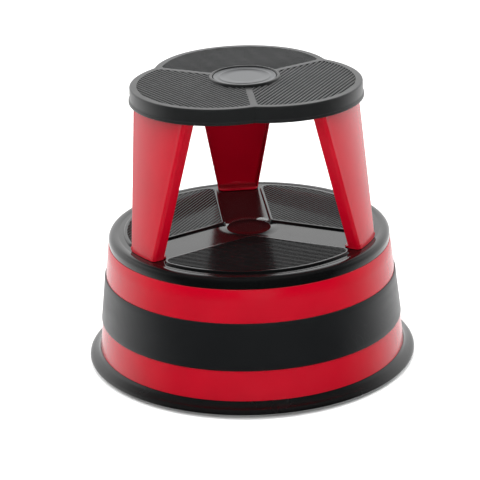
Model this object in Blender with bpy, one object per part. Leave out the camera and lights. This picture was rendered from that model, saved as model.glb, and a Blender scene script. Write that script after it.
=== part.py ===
"""Rolling kick step stool: three-lobed top step, three pressed legs, round lower step on a
conical drum with a bumper band, and three sprung casters that let the floor ring meet the
floor when someone stands on it.

Metres, +Z up.  The origin is on the floor under the stool's axis.  The rear leg is at +Y and
the notch between the two front lobes faces -Y.
"""
import math

import bmesh
import bpy
from mathutils import Vector

MM = 0.001
GAP = 0.3                       # between pieces that touch

# ---- driving dimensions, millimetres -------------------------------------------------
SEGMENTS = 48                   # round sheet and moulded parts
LEGS = {"rear": 90.0, "front_left": 210.0, "front_right": 330.0}      # azimuths, degrees

RING_RADIUS, RING_FLOOR_GAP, RING_LIP_TOP = 207.0, 4.0, 17.6
SHELL_TOP_RADIUS, SHELL_TOP_Z, SHELL_BOTTOM_Z = 177.1, 154.4, 7.5
SHELL_SLOPE, SHELL_WALL = 0.1155, 1.0
BAND_BOTTOM_Z, BAND_TOP_Z, BAND_PROUD = 54.9, 113.3, 1.5

STEP_RADIUS, STEP_SKIN_Z, STEP_SKIN = 176.4, 167.5, 3.0
PAD_TOP_Z, PAD_RADIUS, CHANNEL_HALF = 169.7, 157.0, 28.0
DECK_RADIUS, DECK_THICK, DECK_RIM_Z = 173.0, 1.2, 149.9

LEG_FOOT_Z, LEG_TOP_Z, LEG_SHEET = 168.0, 343.7, 1.6
LEG_FOOT_SHEET, LEG_TOP_SHEET = 2.4, 2.0
LEG_FOOT_WIDTH, LEG_TOP_WIDTH = 52.0, 113.0
LEG_FOOT_DIST, LEG_TOP_DIST = 160.5, 128.5
LEG_FOOT_BULGE, LEG_TOP_BULGE = 1.2, 5.5
LEG_FLANGE, LEG_BEND = 15.0, 5.0

LOBE_RADIUS, LOBE_CENTRE, NOTCH_FILLET = 110.5, 36.7, 9.0
PAN_SHEET, PAN_TOP_Z, PAN_FLANGE = 1.4, 358.2, 34.0
TRAY_BOTTOM_Z, TRAY_LIP_Z, TRAY_TOP_Z, TRAY_WALL = 344.0, 347.3, 363.5, 2.8
FIELD_FLOOR_Z, FIELD_BORDER, SPOKE_HALF = 360.8, 9.0, 4.0
MEDALLION_RADIUS, MEDALLION_TOP_Z, BADGE_RADIUS = 43.7, 366.5, 39.0

CASTER_CIRCLE, WHEEL_RADIUS, CASTER_TRAIL = 160.0, 16.0, 10.0
STEM_RADIUS, SPRING_COIL, SPRING_WIRE = 5.0, 6.5, 0.7


# ---- small helpers ---------------------------------------------------------------------
def material(name, colour, roughness, metallic=0.0):
    """One Principled material."""
    mat = bpy.data.materials.new(name)
    mat.use_nodes = True
    bsdf = mat.node_tree.nodes["Principled BSDF"]
    bsdf.inputs["Base Color"].default_value = (*colour, 1.0)
    bsdf.inputs["Roughness"].default_value = roughness
    bsdf.inputs["Metallic"].default_value = metallic
    mat.diffuse_color = (*colour, 1.0)
    return mat


def polar(radius, degrees):
    """A point on a circle about the origin."""
    return radius * math.cos(math.radians(degrees)), radius * math.sin(math.radians(degrees))


def arc(cx, cy, radius, start, end, steps):
    """Points from start to end degrees, both ends included."""
    return [(cx + radius * math.cos(math.radians(start + (end - start) * i / steps)),
             cy + radius * math.sin(math.radians(start + (end - start) * i / steps)))
            for i in range(steps + 1)]


def turn(points, degrees):
    """Plane points turned about the origin."""
    c, s = math.cos(math.radians(degrees)), math.sin(math.radians(degrees))
    return [(c * x - s * y, s * x + c * y) for x, y in points]


def piece(name, verts, faces, mat, smooth=30.0):
    """A mesh object from millimetre points, its faces turned outwards."""
    bm = bmesh.new()
    made = [bm.verts.new(Vector(v) * MM) for v in verts]
    for face in faces:
        bm.faces.new([made[i] for i in face])
    bmesh.ops.recalc_face_normals(bm, faces=bm.faces)
    if bm.calc_volume(signed=True) < 0.0:
        bmesh.ops.reverse_faces(bm, faces=bm.faces)
    mesh = bpy.data.meshes.new(name)
    bm.to_mesh(mesh)
    bm.free()
    if mat:
        mesh.materials.append(mat)
    mesh.shade_smooth()
    mesh.set_sharp_from_angle(angle=math.radians(smooth))
    obj = bpy.data.objects.new(name, mesh)
    bpy.context.scene.collection.objects.link(obj)
    return obj


def stack(name, rings, mat=None, smooth=30.0):
    """A solid through rings of equally many (x, y, z) points, capped at both ends."""
    count = len(rings[0])
    verts = [p for ring in rings for p in ring]
    faces = [(k * count + i, k * count + (i + 1) % count, (k + 1) * count + (i + 1) % count, (k + 1) * count + i)
             for k in range(len(rings) - 1) for i in range(count)]
    faces += [tuple(range(count)), tuple(range(len(verts) - count, len(verts)))]
    return piece(name, verts, faces, mat, smooth)


def prism(name, outline, z0, z1, mat=None):
    """An outline drawn up from z0 to z1."""
    return stack(name, [[(x, y, z) for x, y in outline] for z in (z0, z1)], mat)


def lathe(name, profile, segments, mat=None, axis="Z", smooth=30.0):
    """A closed (radius, height) profile turned about an axis; a radius of 0 is one point."""
    verts, rows = [], []
    for radius, height in profile:
        row = []
        for i in range(1 if radius == 0.0 else segments):
            x, y = polar(radius, 360.0 * i / segments)
            row.append(len(verts))
            verts.append((x, y, height) if axis == "Z" else (x, height, y))
        rows.append(row)
    faces = []
    for k, low in enumerate(rows):
        high = rows[(k + 1) % len(rows)]
        for i in range(segments):
            a, b = low[i % len(low)], low[(i + 1) % len(low)]
            c, d = high[(i + 1) % len(high)], high[i % len(high)]
            face = tuple(dict.fromkeys((a, b, c, d)))
            if len(face) > 2:
                faces.append(face)
    return piece(name, verts, faces, mat, smooth)


def rod(name, x, y, z0, z1, radius, sides=12, axis="Z"):
    """A plain cylinder, used as a cutter."""
    if axis == "Z":
        return prism(name, [(x + px, y + py) for px, py in arc(0, 0, radius, 0, 360, sides)[:-1]], z0, z1)
    rings = [[(x + px, h, y + py) for px, py in arc(0, 0, radius, 0, 360, sides)[:-1]] for h in (z0, z1)]
    return stack(name, rings)


def combine(obj, other, operation):
    """Boolean `other` into `obj` for good."""
    mod = obj.modifiers.new(operation, "BOOLEAN")
    mod.operation, mod.object, mod.solver = operation, other, "EXACT"
    bpy.context.view_layer.update()
    made = bpy.data.meshes.new_from_object(obj.evaluated_get(bpy.context.evaluated_depsgraph_get()))
    old, obj.data = obj.data, made
    made.name = obj.name
    obj.modifiers.clear()
    bpy.data.meshes.remove(old)
    bpy.data.objects.remove(other)
    while len(made.materials) > 1:
        made.materials.pop()
    if made.polygons:
        made.polygons.foreach_set("material_index", [0] * len(made.polygons))
    made.shade_smooth()
    made.set_sharp_from_angle(angle=math.radians(30.0))
    return obj


def cut(obj, other):
    """Take `other` away from `obj`."""
    return combine(obj, other, "DIFFERENCE")


def join(obj, other):
    """Add `other` to `obj`."""
    return combine(obj, other, "UNION")


# ---- outlines --------------------------------------------------------------------------
def trefoil(offset):
    """Outline of the three-lobed step, grown by `offset`, with rounded notches."""
    radius, fillet = LOBE_RADIUS + offset, NOTCH_FILLET - offset
    far = LOBE_RADIUS + NOTCH_FILLET
    side = LOBE_CENTRE * math.sin(math.radians(60))
    reach = LOBE_CENTRE * math.cos(math.radians(60)) + math.sqrt(far * far - side * side)
    nx, ny = polar(reach, 60)                       # centre of the notch fillet
    lean = math.degrees(math.atan2(ny, nx - LOBE_CENTRE))
    points = []
    for azimuth in sorted(LEGS.values()):
        lobe = arc(LOBE_CENTRE, 0, radius, -lean, lean, 15)
        notch = arc(nx, ny, fillet, lean + 180, 300 - lean, 3)[1:-1]
        points += turn(lobe + notch, azimuth)
    return points


def wedge(centre, radius, offset, corner, tip=0.0, inner=0.0, steps=14):
    """A sector about +X between lines at +-60 degrees set in by `offset`, with an outer arc
    about (centre, 0) and rounded corners; it ends in a rounded tip or on an inner circle."""
    ux, uy = polar(1.0, 60)
    nx, ny = uy, -ux
    off = offset + corner
    # centre of the corner fillet, on a line parallel to the side
    bx, by = off * nx - centre, off * ny
    dot = ux * bx + uy * by
    along = -dot + math.sqrt(dot * dot - (bx * bx + by * by) + (radius - corner) ** 2)
    cx, cy = along * ux + off * nx, along * uy + off * ny
    lean = math.degrees(math.atan2(cy, cx - centre))
    upper = arc(cx, cy, corner, lean, 150, 5)
    outer = arc(centre, 0, radius, -lean, lean, steps)
    if inner:
        s = math.sqrt(inner * inner - offset * offset)
        start = math.degrees(math.atan2(s * uy + offset * ny, s * ux + offset * nx))
        end = arc(0, 0, inner, start, -start, 10)
    else:
        tx = (offset + tip) / uy
        end = arc(tx, 0, tip, 150, 210, 5)
    lower = [(x, -y) for x, y in reversed(upper)]
    return outer[:-1] + upper + end + lower[:-1]


def shell_radius(z):
    """Outer radius of the drum's cone at a height."""
    return SHELL_TOP_RADIUS + SHELL_SLOPE * (SHELL_TOP_Z - z)


# ---- scene -----------------------------------------------------------------------------
for old in list(bpy.data.objects):
    bpy.data.objects.remove(old)

PAINT = material("red_paint", (0.62, 0.004, 0.02), 0.18)
MOULD = material("black_moulding", (0.02, 0.021, 0.022), 0.32)
BAND = material("band_vinyl", (0.035, 0.037, 0.04), 0.45)
RUBBER = material("black_rubber", (0.018, 0.018, 0.019), 0.6)
STEEL = material("galvanised_steel", (0.55, 0.56, 0.58), 0.35, 1.0)
ZINC = material("zinc_plate", (0.66, 0.66, 0.68), 0.25, 1.0)
TREAD = material("caster_tread", (0.09, 0.09, 0.095), 0.5)
BADGE = material("badge_plate", (0.6, 0.6, 0.61), 0.3, 1.0)

# Drum shell: conical sheet with a small flange turned in at the top.
flange_in = DECK_RADIUS + GAP
lathe("base_shell", [
    (shell_radius(SHELL_BOTTOM_Z), SHELL_BOTTOM_Z), (SHELL_TOP_RADIUS, SHELL_TOP_Z - 0.8),
    (SHELL_TOP_RADIUS - 0.8, SHELL_TOP_Z), (flange_in, SHELL_TOP_Z), (flange_in, SHELL_TOP_Z - SHELL_WALL),
    (SHELL_TOP_RADIUS - SHELL_WALL, SHELL_TOP_Z - SHELL_WALL),
    (shell_radius(SHELL_BOTTOM_Z) - SHELL_WALL, SHELL_BOTTOM_Z)], SEGMENTS, PAINT)

# Bumper band round the middle of the drum.
lathe("bumper_band", [
    (shell_radius(BAND_BOTTOM_Z) + GAP, BAND_BOTTOM_Z), (shell_radius(BAND_BOTTOM_Z) + BAND_PROUD - 0.5, BAND_BOTTOM_Z),
    (shell_radius(BAND_BOTTOM_Z) + BAND_PROUD, BAND_BOTTOM_Z + 0.8),
    (shell_radius(BAND_TOP_Z) + BAND_PROUD, BAND_TOP_Z - 0.8),
    (shell_radius(BAND_TOP_Z) + BAND_PROUD - 0.5, BAND_TOP_Z), (shell_radius(BAND_TOP_Z) + GAP, BAND_TOP_Z)],
    SEGMENTS, BAND)

# Floor ring: grips the shell's lower edge in a slot and slopes out to a rounded edge.
slot_low = SHELL_BOTTOM_Z - GAP
slot_out = shell_radius(SHELL_BOTTOM_Z) + GAP
slot_in = shell_radius(SHELL_BOTTOM_Z) - SHELL_WALL - 1.2
lathe("floor_ring", [
    (slot_in - 3.0, RING_FLOOR_GAP), (RING_RADIUS - 2.4, RING_FLOOR_GAP), (RING_RADIUS - 0.7, 5.0),
    (RING_RADIUS, 7.0), (RING_RADIUS - 0.8, 9.0), (204.0, 10.8), (195.6, 15.0), (193.9, 17.3),
    (shell_radius(RING_LIP_TOP) + GAP, RING_LIP_TOP), (slot_out, slot_low),
    (slot_in, slot_low), (slot_in, 14.0), (slot_in - 3.0, 14.0)], SEGMENTS, RUBBER)

# Deck pan under the lower step, its rim turned down inside the shell.
deck_top = STEP_SKIN_Z - STEP_SKIN - GAP
deck = lathe("deck_plate", [
    (0.0, deck_top), (DECK_RADIUS - 1.7, deck_top), (DECK_RADIUS, deck_top - 1.7), (DECK_RADIUS, DECK_RIM_Z),
    (DECK_RADIUS - DECK_THICK, DECK_RIM_Z), (DECK_RADIUS - DECK_THICK, deck_top - 1.8),
    (DECK_RADIUS - DECK_THICK - 0.6, deck_top - DECK_THICK), (0.0, deck_top - DECK_THICK)], SEGMENTS, STEEL)

# Lower step: moulded skin with a rounded nosing, and three raised pads between the legs.
step = lathe("lower_step", [
    (0.0, STEP_SKIN_Z), (163.5, STEP_SKIN_Z), (166.0, STEP_SKIN_Z + 0.5), (169.5, STEP_SKIN_Z + 0.7),
    (172.8, STEP_SKIN_Z), (175.3, STEP_SKIN_Z - 2.0), (STEP_RADIUS, STEP_SKIN_Z - 5.0),
    (STEP_RADIUS, SHELL_TOP_Z + GAP), (DECK_RADIUS + GAP, SHELL_TOP_Z + GAP),
    (DECK_RADIUS + GAP, STEP_SKIN_Z - STEP_SKIN), (0.0, STEP_SKIN_Z - STEP_SKIN)], SEGMENTS, MOULD)
pad_outline = wedge(0.0, PAD_RADIUS, CHANNEL_HALF, 13.0, tip=7.0)
for azimuth in LEGS.values():
    join(step, prism("pad", turn(pad_outline, azimuth + 180.0), STEP_SKIN_Z - 1.5, PAD_TOP_Z))


# ---- legs ------------------------------------------------------------------------------
def leg_section(width, dist, bulge, inset=0.0, back=None):
    """Outline of a leg across its length: lateral u, outward v.  The face bows outwards and
    turns into two flanges; `inset` moves it inwards by the sheet's thickness."""
    half, bend = width / 2 - inset, LEG_BEND - inset
    back = dist - LEG_FLANGE if back is None else back
    left = [(-half, back)] + [(x, y) for x, y in arc(-half + bend, dist - inset - bend, bend, 180, 90, 3)]
    span = half - bend
    face = [(u, dist - inset + bulge * (1 - (u / span) ** 2)) for u in
            (span * (2 * i / 8 - 1) for i in range(1, 8))]
    right = [(-x, y) for x, y in reversed(left)]
    return left + face + right


def lean(z):
    """How far up the leg a height is, 0 at the foot and 1 at the top."""
    return (z - LEG_FOOT_Z) / (LEG_TOP_Z - LEG_FOOT_Z)


def at_height(z, inset=0.0, open_back=False):
    """A leg's section at a height."""
    k = lean(z)
    width = LEG_FOOT_WIDTH + (LEG_TOP_WIDTH - LEG_FOOT_WIDTH) * k
    dist = LEG_FOOT_DIST + (LEG_TOP_DIST - LEG_FOOT_DIST) * k
    bulge = LEG_FOOT_BULGE + (LEG_TOP_BULGE - LEG_FOOT_BULGE) * k
    back = dist - LEG_FLANGE - 12.0 if open_back else None
    return leg_section(width, dist, bulge, inset, back)


def placed(points, z, azimuth):
    """Leg-frame points (u, v) at a height, as points about the stool's axis."""
    return [(x, y, z) for x, y in turn([(v, -u) for u, v in points], azimuth)]


STUD_SIDE, STUD_DIST = 14.0, LEG_FOOT_DIST - 11.5
RIVET_SIDE, RIVET_DIST = 30.0, LEG_TOP_DIST - 14.0

for label, azimuth in LEGS.items():
    leg = stack("leg_" + label, [placed(at_height(z), z, azimuth) for z in (LEG_FOOT_Z, LEG_TOP_Z)], PAINT)
    low, high = LEG_FOOT_Z + LEG_FOOT_SHEET, LEG_TOP_Z - LEG_TOP_SHEET
    cut(leg, stack("hollow", [placed(at_height(z, LEG_SHEET, True), z, azimuth) for z in (low, high)]))
    half = LEG_FOOT_WIDTH / 2 - 1.0
    tab = [(-half, LEG_FOOT_DIST - 8), (half, LEG_FOOT_DIST - 8), (half, LEG_FOOT_DIST - 19),
           (half - 4, LEG_FOOT_DIST - 22.5), (-half + 4, LEG_FOOT_DIST - 22.5), (-half, LEG_FOOT_DIST - 19)]
    join(leg, stack("foot", [placed(tab, z, azimuth) for z in (LEG_FOOT_Z, low)]))
    half = LEG_TOP_WIDTH / 2 - 1.5
    tab = [(-half, LEG_TOP_DIST - 8), (half, LEG_TOP_DIST - 8), (half - 6, LEG_TOP_DIST - 25), (-half + 6, LEG_TOP_DIST - 25)]
    join(leg, stack("shelf", [placed(tab, z, azimuth) for z in (high, LEG_TOP_Z)]))

    for suffix, sign in (("a", 1.0), ("b", -1.0)):
        (sx, sy, _), = placed([(sign * STUD_SIDE, STUD_DIST)], 0.0, azimuth)
        for sheet in (deck, step):
            cut(sheet, rod("hole", sx, sy, 155.0, 175.0, 3.3))
        stud = prism(f"foot_stud_{label}_{suffix}", arc(0, 0, 3.0, 0, 360, 12)[:-1], 155.5, LEG_FOOT_Z - GAP, ZINC)
        stud.location = (sx * MM, sy * MM, 0.0)
        flat = 10.0 / 2                             # across flats
        hexagon = [polar(flat if i % 2 else flat / math.cos(math.radians(30)), 30.0 * i) for i in range(12)]
        bore = arc(0, 0, 3.3, 0, 360, 12)[:-1]
        nut_top = deck_top - DECK_THICK - GAP
        rings = [[(x, y, z) for x, y in ring] for ring, z in
                 ((hexagon, nut_top), (bore, nut_top), (bore, nut_top - 5.0), (hexagon, nut_top - 5.0))]
        verts = [p for ring in rings for p in ring]
        faces = [(k * 12 + i, k * 12 + (i + 1) % 12, (k + 1) % 4 * 12 + (i + 1) % 12, (k + 1) % 4 * 12 + i)
                 for k in range(4) for i in range(12)]
        nut = piece(f"foot_nut_{label}_{suffix}", verts, faces, ZINC)
        nut.location = stud.location

        (rx, ry, _), = placed([(sign * RIVET_SIDE, RIVET_DIST)], 0.0, azimuth)
        cut(leg, rod("hole", rx, ry, high - 2.0, LEG_TOP_Z + 2.0, 3.3))
        pan_in = TRAY_BOTTOM_Z + PAN_SHEET
        rivet = lathe(f"leg_rivet_{label}_{suffix}", [
            (0.0, pan_in + 2.6), (4.2, pan_in + 2.3), (5.2, pan_in + GAP), (3.0, pan_in + GAP),
            (3.0, high - GAP), (5.2, high - GAP), (4.2, high - 2.3), (0.0, high - 2.6)], 12, ZINC)
        rivet.location = (rx * MM, ry * MM, 0.0)

# ---- top step --------------------------------------------------------------------------
def level(offset, z):
    """The top step's outline, grown by an offset, at a height."""
    return [(x, y, z) for x, y in trefoil(offset)]


pan_rim = -TRAY_WALL - GAP
pan = stack("top_pan", [
    level(pan_rim - 1.0, PAN_TOP_Z), level(pan_rim, PAN_TOP_Z - 1.0), level(pan_rim, TRAY_BOTTOM_Z),
    level(pan_rim - PAN_FLANGE, TRAY_BOTTOM_Z), level(pan_rim - PAN_FLANGE, TRAY_BOTTOM_Z + PAN_SHEET),
    level(pan_rim - PAN_SHEET, TRAY_BOTTOM_Z + PAN_SHEET), level(pan_rim - PAN_SHEET, PAN_TOP_Z - PAN_SHEET)], STEEL)
for azimuth in LEGS.values():
    for sign in (1.0, -1.0):
        (rx, ry, _), = placed([(sign * RIVET_SIDE, RIVET_DIST)], 0.0, azimuth)
        cut(pan, rod("hole", rx, ry, TRAY_BOTTOM_Z - 2.0, TRAY_BOTTOM_Z + 4.0, 3.3))

tray = stack("top_step", [
    level(-1.8, TRAY_TOP_Z), level(-0.5, TRAY_TOP_Z - 0.5), level(0.0, TRAY_TOP_Z - 1.8), level(0.0, TRAY_LIP_Z + 0.8),
    level(1.2, TRAY_LIP_Z), level(1.5, TRAY_LIP_Z - 0.6), level(1.5, TRAY_BOTTOM_Z), level(-TRAY_WALL, TRAY_BOTTOM_Z),
    level(-TRAY_WALL, PAN_TOP_Z + GAP)], MOULD)
field = wedge(LOBE_CENTRE, LOBE_RADIUS - FIELD_BORDER, SPOKE_HALF, 7.0, inner=MEDALLION_RADIUS - 1.2)
for azimuth in LEGS.values():
    cut(tray, prism("field", turn(field, azimuth), FIELD_FLOOR_Z, TRAY_TOP_Z + 4.0))
join(tray, prism("medallion", arc(0, 0, MEDALLION_RADIUS, 0, 360, 40)[:-1], FIELD_FLOOR_Z - 0.6, MEDALLION_TOP_Z))
cut(tray, prism("recess", arc(0, 0, BADGE_RADIUS + 0.4, 0, 360, 40)[:-1], 363.4, MEDALLION_TOP_Z + 2.0))
prism("centre_badge", arc(0, 0, BADGE_RADIUS, 0, 360, 40)[:-1], 363.7, 365.2, BADGE)

# ---- casters ---------------------------------------------------------------------------
WELL_BOTTOM, WELL_TOP = 46.0, 92.0                 # spring tube
FORK_TOP = 37.2


def add_caster(label, azimuth):
    """One sprung swivel caster under a leg: its pieces hang from an empty on its own axis."""
    axis = bpy.data.objects.new("caster_axis_" + label, None)
    ax, ay = polar(CASTER_CIRCLE, azimuth)
    axis.location = (ax * MM, ay * MM, 0.0)
    axis.rotation_euler = (0.0, 0.0, math.radians(azimuth + 90.0))
    bpy.context.scene.collection.objects.link(axis)
    name = "caster_" + label + "_"

    # Bracket: an angle welded round the inside of the shell, with a spring tube through it.
    shelf, tab, sheet = 49.5, 76.0, 2.5             # shelf height, top of the welded tab, sheet
    wall = [shell_radius(z) - SHELL_WALL - GAP for z in (shelf, tab, shelf + sheet)]
    section = [(140.0, shelf), (wall[0], shelf), (wall[1], tab), (wall[1] - sheet, tab),
               (wall[2] - sheet, shelf + sheet), (140.0, shelf + sheet)]
    step_angle = 360.0 / SEGMENTS
    rings = [[(*polar(r, azimuth + step_angle * k), z) for r, z in section] for k in (-1, 0, 1)]
    bracket = stack(name + "bracket", rings, STEEL)
    cut(bracket, rod("hole", ax, ay, 40.0, 60.0, 9.6, 16))
    tube = lathe("tube", [
        (11.0, WELL_BOTTOM), (11.0, WELL_TOP), (2.0, WELL_TOP), (2.0, WELL_TOP - 2.0), (8.4, WELL_TOP - 2.0),
        (8.4, WELL_BOTTOM + 2.5), (5.3, WELL_BOTTOM + 2.5), (5.3, WELL_BOTTOM)], 16)
    tube.location = axis.location
    join(bracket, tube)

    def hang(obj, at=(0.0, 0.0, 0.0)):
        obj.parent = axis
        obj.location = Vector(at) * MM
        return obj

    hang(lathe(name + "stem", [
        (0.0, 84.5), (4.2, 84.5), (STEM_RADIUS, 83.7), (STEM_RADIUS, 50.3), (4.3, 50.3), (4.3, 48.5), (STEM_RADIUS, 48.5),
        (STEM_RADIUS, 41.0), (9.0, 41.0), (9.0, 38.8), (4.0, 38.8), (4.0, 34.9), (6.2, 34.9), (5.4, 33.3), (0.0, 33.3)],
        16, ZINC))
    hang(lathe(name + "clip", [(4.6, 48.8), (7.9, 48.8), (7.9, 50.0), (4.6, 50.0)], 16, ZINC))
    hang(lathe(name + "washer", [(4.4, 37.5), (8.6, 37.5), (8.6, 38.5), (4.4, 38.5)], 16, ZINC))

    # Spring: round wire along a helix between the clip and the tube's roof.
    turns, per_turn, sides = 6, 9, 4
    z_low, z_high = 50.3 + SPRING_WIRE, WELL_TOP - 2.0 - GAP - SPRING_WIRE
    rings = []
    for i in range(turns * per_turn + 1):
        t = i / (turns * per_turn)
        a = 2 * math.pi * turns * t
        z = z_low + (z_high - z_low) * t
        ring = [(SPRING_COIL + SPRING_WIRE * math.cos(b), SPRING_WIRE * math.sin(b)) for b in
                (2 * math.pi * j / sides for j in range(sides))]
        rings.append([(r * math.cos(a), r * math.sin(a), z + h) for r, h in ring])
    hang(stack(name + "spring", rings, ZINC, smooth=60.0))

    # Fork: a bent strap, its cheeks shaped down to the axle.
    strap = [(-11.2, 6.0), (-11.2, FORK_TOP - 1.0), (-10.2, FORK_TOP), (10.2, FORK_TOP), (11.2, FORK_TOP - 1.0), (11.2, 6.0),
             (9.2, 6.0), (9.2, FORK_TOP - 2.0), (-9.2, FORK_TOP - 2.0), (-9.2, 6.0)]
    fork = stack(name + "fork", [[(x, y, z) for y, z in strap] for x in (-22.0, 12.0)], ZINC)
    cheek = [(8.5, 40.0), (8.5, 33.0)] + arc(-CASTER_TRAIL, WHEEL_RADIUS, 5.6, -35, -180, 5) + [(-15.6, 33.0), (-13.0, 40.0)]
    combine(fork, stack("outline", [[(x, y, z) for x, z in cheek] for y in (-15.0, 15.0)]), "INTERSECT")
    cut(fork, rod("hole", 0.0, 0.0, 30.0, 40.0, 4.3, 12))
    cut(fork, rod("hole", -CASTER_TRAIL, WHEEL_RADIUS, -15.0, 15.0, 3.3, 12, axis="Y"))
    hang(fork)

    hub = (-CASTER_TRAIL, 0.0, WHEEL_RADIUS)
    hang(lathe(name + "axle", [(0.0, -13.3), (4.0, -13.3), (4.6, -12.6), (4.6, -11.5), (3.0, -11.5), (3.0, 11.5),
                               (4.6, 11.5), (4.6, 12.6), (4.0, 13.3), (0.0, 13.3)], 12, ZINC, axis="Y"), hub)
    hang(lathe(name + "wheel", [(3.3, -8.9), (6.5, -8.9), (7.6, -7.6), (14.4, -7.6), (WHEEL_RADIUS, -6.0),
                                (WHEEL_RADIUS, 6.0), (14.4, 7.6), (7.6, 7.6), (6.5, 8.9), (3.3, 8.9)], 20, TREAD, axis="Y"), hub)


for label, azimuth in LEGS.items():
    add_caster(label, azimuth)
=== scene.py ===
"""Looks of the rolling kick step stool: a painted steel drum and three legs, two moulded
black steps with ribbed treads, a vinyl bumper band, a rubber floor ring and three sprung
casters, set on a pale studio floor.

Sizes in the classes are millimetres; meshes are made in metres, +Z up, about the stool's
own axis, with the rear leg at +Y.
"""
from __future__ import annotations

import logging
import math
from dataclasses import dataclass, field
from enum import Enum
from typing import Iterable, Sequence, Union

import bmesh
import bpy
from mathutils import Matrix, Vector
from mathutils.geometry import delaunay_2d_cdt


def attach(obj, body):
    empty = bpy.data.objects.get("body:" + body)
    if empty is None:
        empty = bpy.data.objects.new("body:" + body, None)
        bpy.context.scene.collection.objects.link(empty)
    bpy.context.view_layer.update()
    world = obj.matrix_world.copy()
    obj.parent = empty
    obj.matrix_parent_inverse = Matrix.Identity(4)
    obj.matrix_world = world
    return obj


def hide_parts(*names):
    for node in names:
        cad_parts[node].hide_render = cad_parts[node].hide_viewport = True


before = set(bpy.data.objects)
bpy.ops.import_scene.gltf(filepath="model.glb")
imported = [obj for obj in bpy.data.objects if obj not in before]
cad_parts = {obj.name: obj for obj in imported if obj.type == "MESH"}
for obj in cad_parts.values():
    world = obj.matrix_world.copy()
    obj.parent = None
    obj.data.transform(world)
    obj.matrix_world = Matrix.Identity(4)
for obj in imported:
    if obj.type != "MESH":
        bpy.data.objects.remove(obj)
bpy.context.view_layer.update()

LOG = logging.getLogger("kick_stool")
MM = 0.001
BODY = "stool"

Flat = tuple[float, float]
Point = tuple[float, float, float]
Value = Union[float, int, tuple, str, bpy.types.NodeSocket, bpy.types.ID]


class Station(Enum):
    """The three places round the stool where a leg stands and a caster hangs."""

    REAR = "rear"
    FRONT_LEFT = "front_left"
    FRONT_RIGHT = "front_right"

    @property
    def azimuth(self) -> float:
        """Degrees round the axis from +X."""
        return {"rear": 90.0, "front_left": 210.0, "front_right": 330.0}[self.value]


class Slot(Enum):
    """The record's material slots."""

    PAINT = "red_paint"
    MOULDING = "black_moulding"
    BAND = "band_vinyl"
    RUBBER = "black_rubber"
    STEEL = "galvanised_steel"
    ZINC = "zinc_plate"
    TREAD = "caster_tread"
    BADGE = "badge_plate"


# ---- plane shapes ----------------------------------------------------------------------
def polar(radius: float, degrees: float) -> Flat:
    """A point on a circle about the origin.

    Args:
        radius: Distance from the origin.
        degrees: Angle from +X.

    Returns:
        The point.
    """
    return radius * math.cos(math.radians(degrees)), radius * math.sin(math.radians(degrees))


def arc(centre: Flat, radius: float, start: float, end: float, steps: int) -> list[Flat]:
    """Points along an arc, both ends included.

    Args:
        centre: Centre of the arc.
        radius: Its radius.
        start: First angle in degrees.
        end: Last angle in degrees.
        steps: Number of chords.

    Returns:
        steps + 1 points.
    """
    return [(centre[0] + p[0], centre[1] + p[1])
            for p in (polar(radius, start + (end - start) * i / steps) for i in range(steps + 1))]


def turned(points: Iterable[Flat], degrees: float) -> list[Flat]:
    """Plane points turned about the origin.

    Args:
        points: The points.
        degrees: Turn, anticlockwise.

    Returns:
        The turned points.
    """
    c, s = math.cos(math.radians(degrees)), math.sin(math.radians(degrees))
    return [(c * x - s * y, s * x + c * y) for x, y in points]


def flowing(points: Sequence[Flat], steps: int = 5) -> list[Flat]:
    """A smooth path through points.

    Args:
        points: Points that the path passes through.
        steps: Spans between two neighbours.

    Returns:
        The denser path.
    """
    made: list[Flat] = []
    last = len(points) - 1
    for i in range(last):
        a, b, c, d = (Vector(points[max(0, min(last, i + k))]) for k in (-1, 0, 1, 2))
        for n in range(steps):
            t = n / steps
            p = 0.5 * (2 * b + (c - a) * t + (2 * a - 5 * b + 4 * c - d) * t * t + (3 * b - a - 3 * c + d)
                       * t ** 3)
            made.append((p.x, p.y))
    return made + [tuple(points[-1])]


def eased(path: Sequence[Flat], radius: float, steps: int = 4) -> list[Flat]:
    """A closed path with its corners rounded.

    Args:
        path: Corners in order.
        radius: Radius of each corner, less where the sides are too short for it.
        steps: Chords in each corner.

    Returns:
        The rounded path.
    """
    made: list[Flat] = []
    for i, corner in enumerate(path):
        b = Vector(corner)
        into, away = Vector(path[i - 1]) - b, Vector(path[(i + 1) % len(path)]) - b
        lengths = into.length, away.length
        into.normalize()
        away.normalize()
        angle = into.angle(away)
        if angle > math.pi - 0.05:
            made.append(tuple(corner))
            continue
        cut = min(radius / math.tan(angle / 2), 0.47 * lengths[0], 0.47 * lengths[1])
        centre = b + (into + away).normalized() * (cut * math.tan(angle / 2) / math.sin(angle / 2))
        first, last = b + into * cut - centre, b + away * cut - centre
        sweep = math.atan2(first.cross(last), first.dot(last))
        for k in range(steps + 1):
            c, s = math.cos(sweep * k / steps), math.sin(sweep * k / steps)
            made.append((centre.x + c * first.x - s * first.y, centre.y + s * first.x + c * first.y))
    return made


def drawn_in(points: Sequence[Flat], distance: float) -> list[Flat]:
    """An anticlockwise outline drawn in by a small distance.

    Args:
        points: The outline.
        distance: How far each side moves inwards.

    Returns:
        The smaller outline, with as many points.
    """
    made: list[Flat] = []
    for i, corner in enumerate(points):
        a, b, c = Vector(points[i - 1]), Vector(corner), Vector(points[(i + 1) % len(points)])
        first, second = (b - a).normalized(), (c - b).normalized()
        normal = Vector((-first.y - second.y, first.x + second.x))
        normal.normalize()
        stretch = max(0.4, normal.dot(Vector((-first.y, first.x))))
        made.append((b.x + normal.x * distance / stretch, b.y + normal.y * distance / stretch))
    return made


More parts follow.
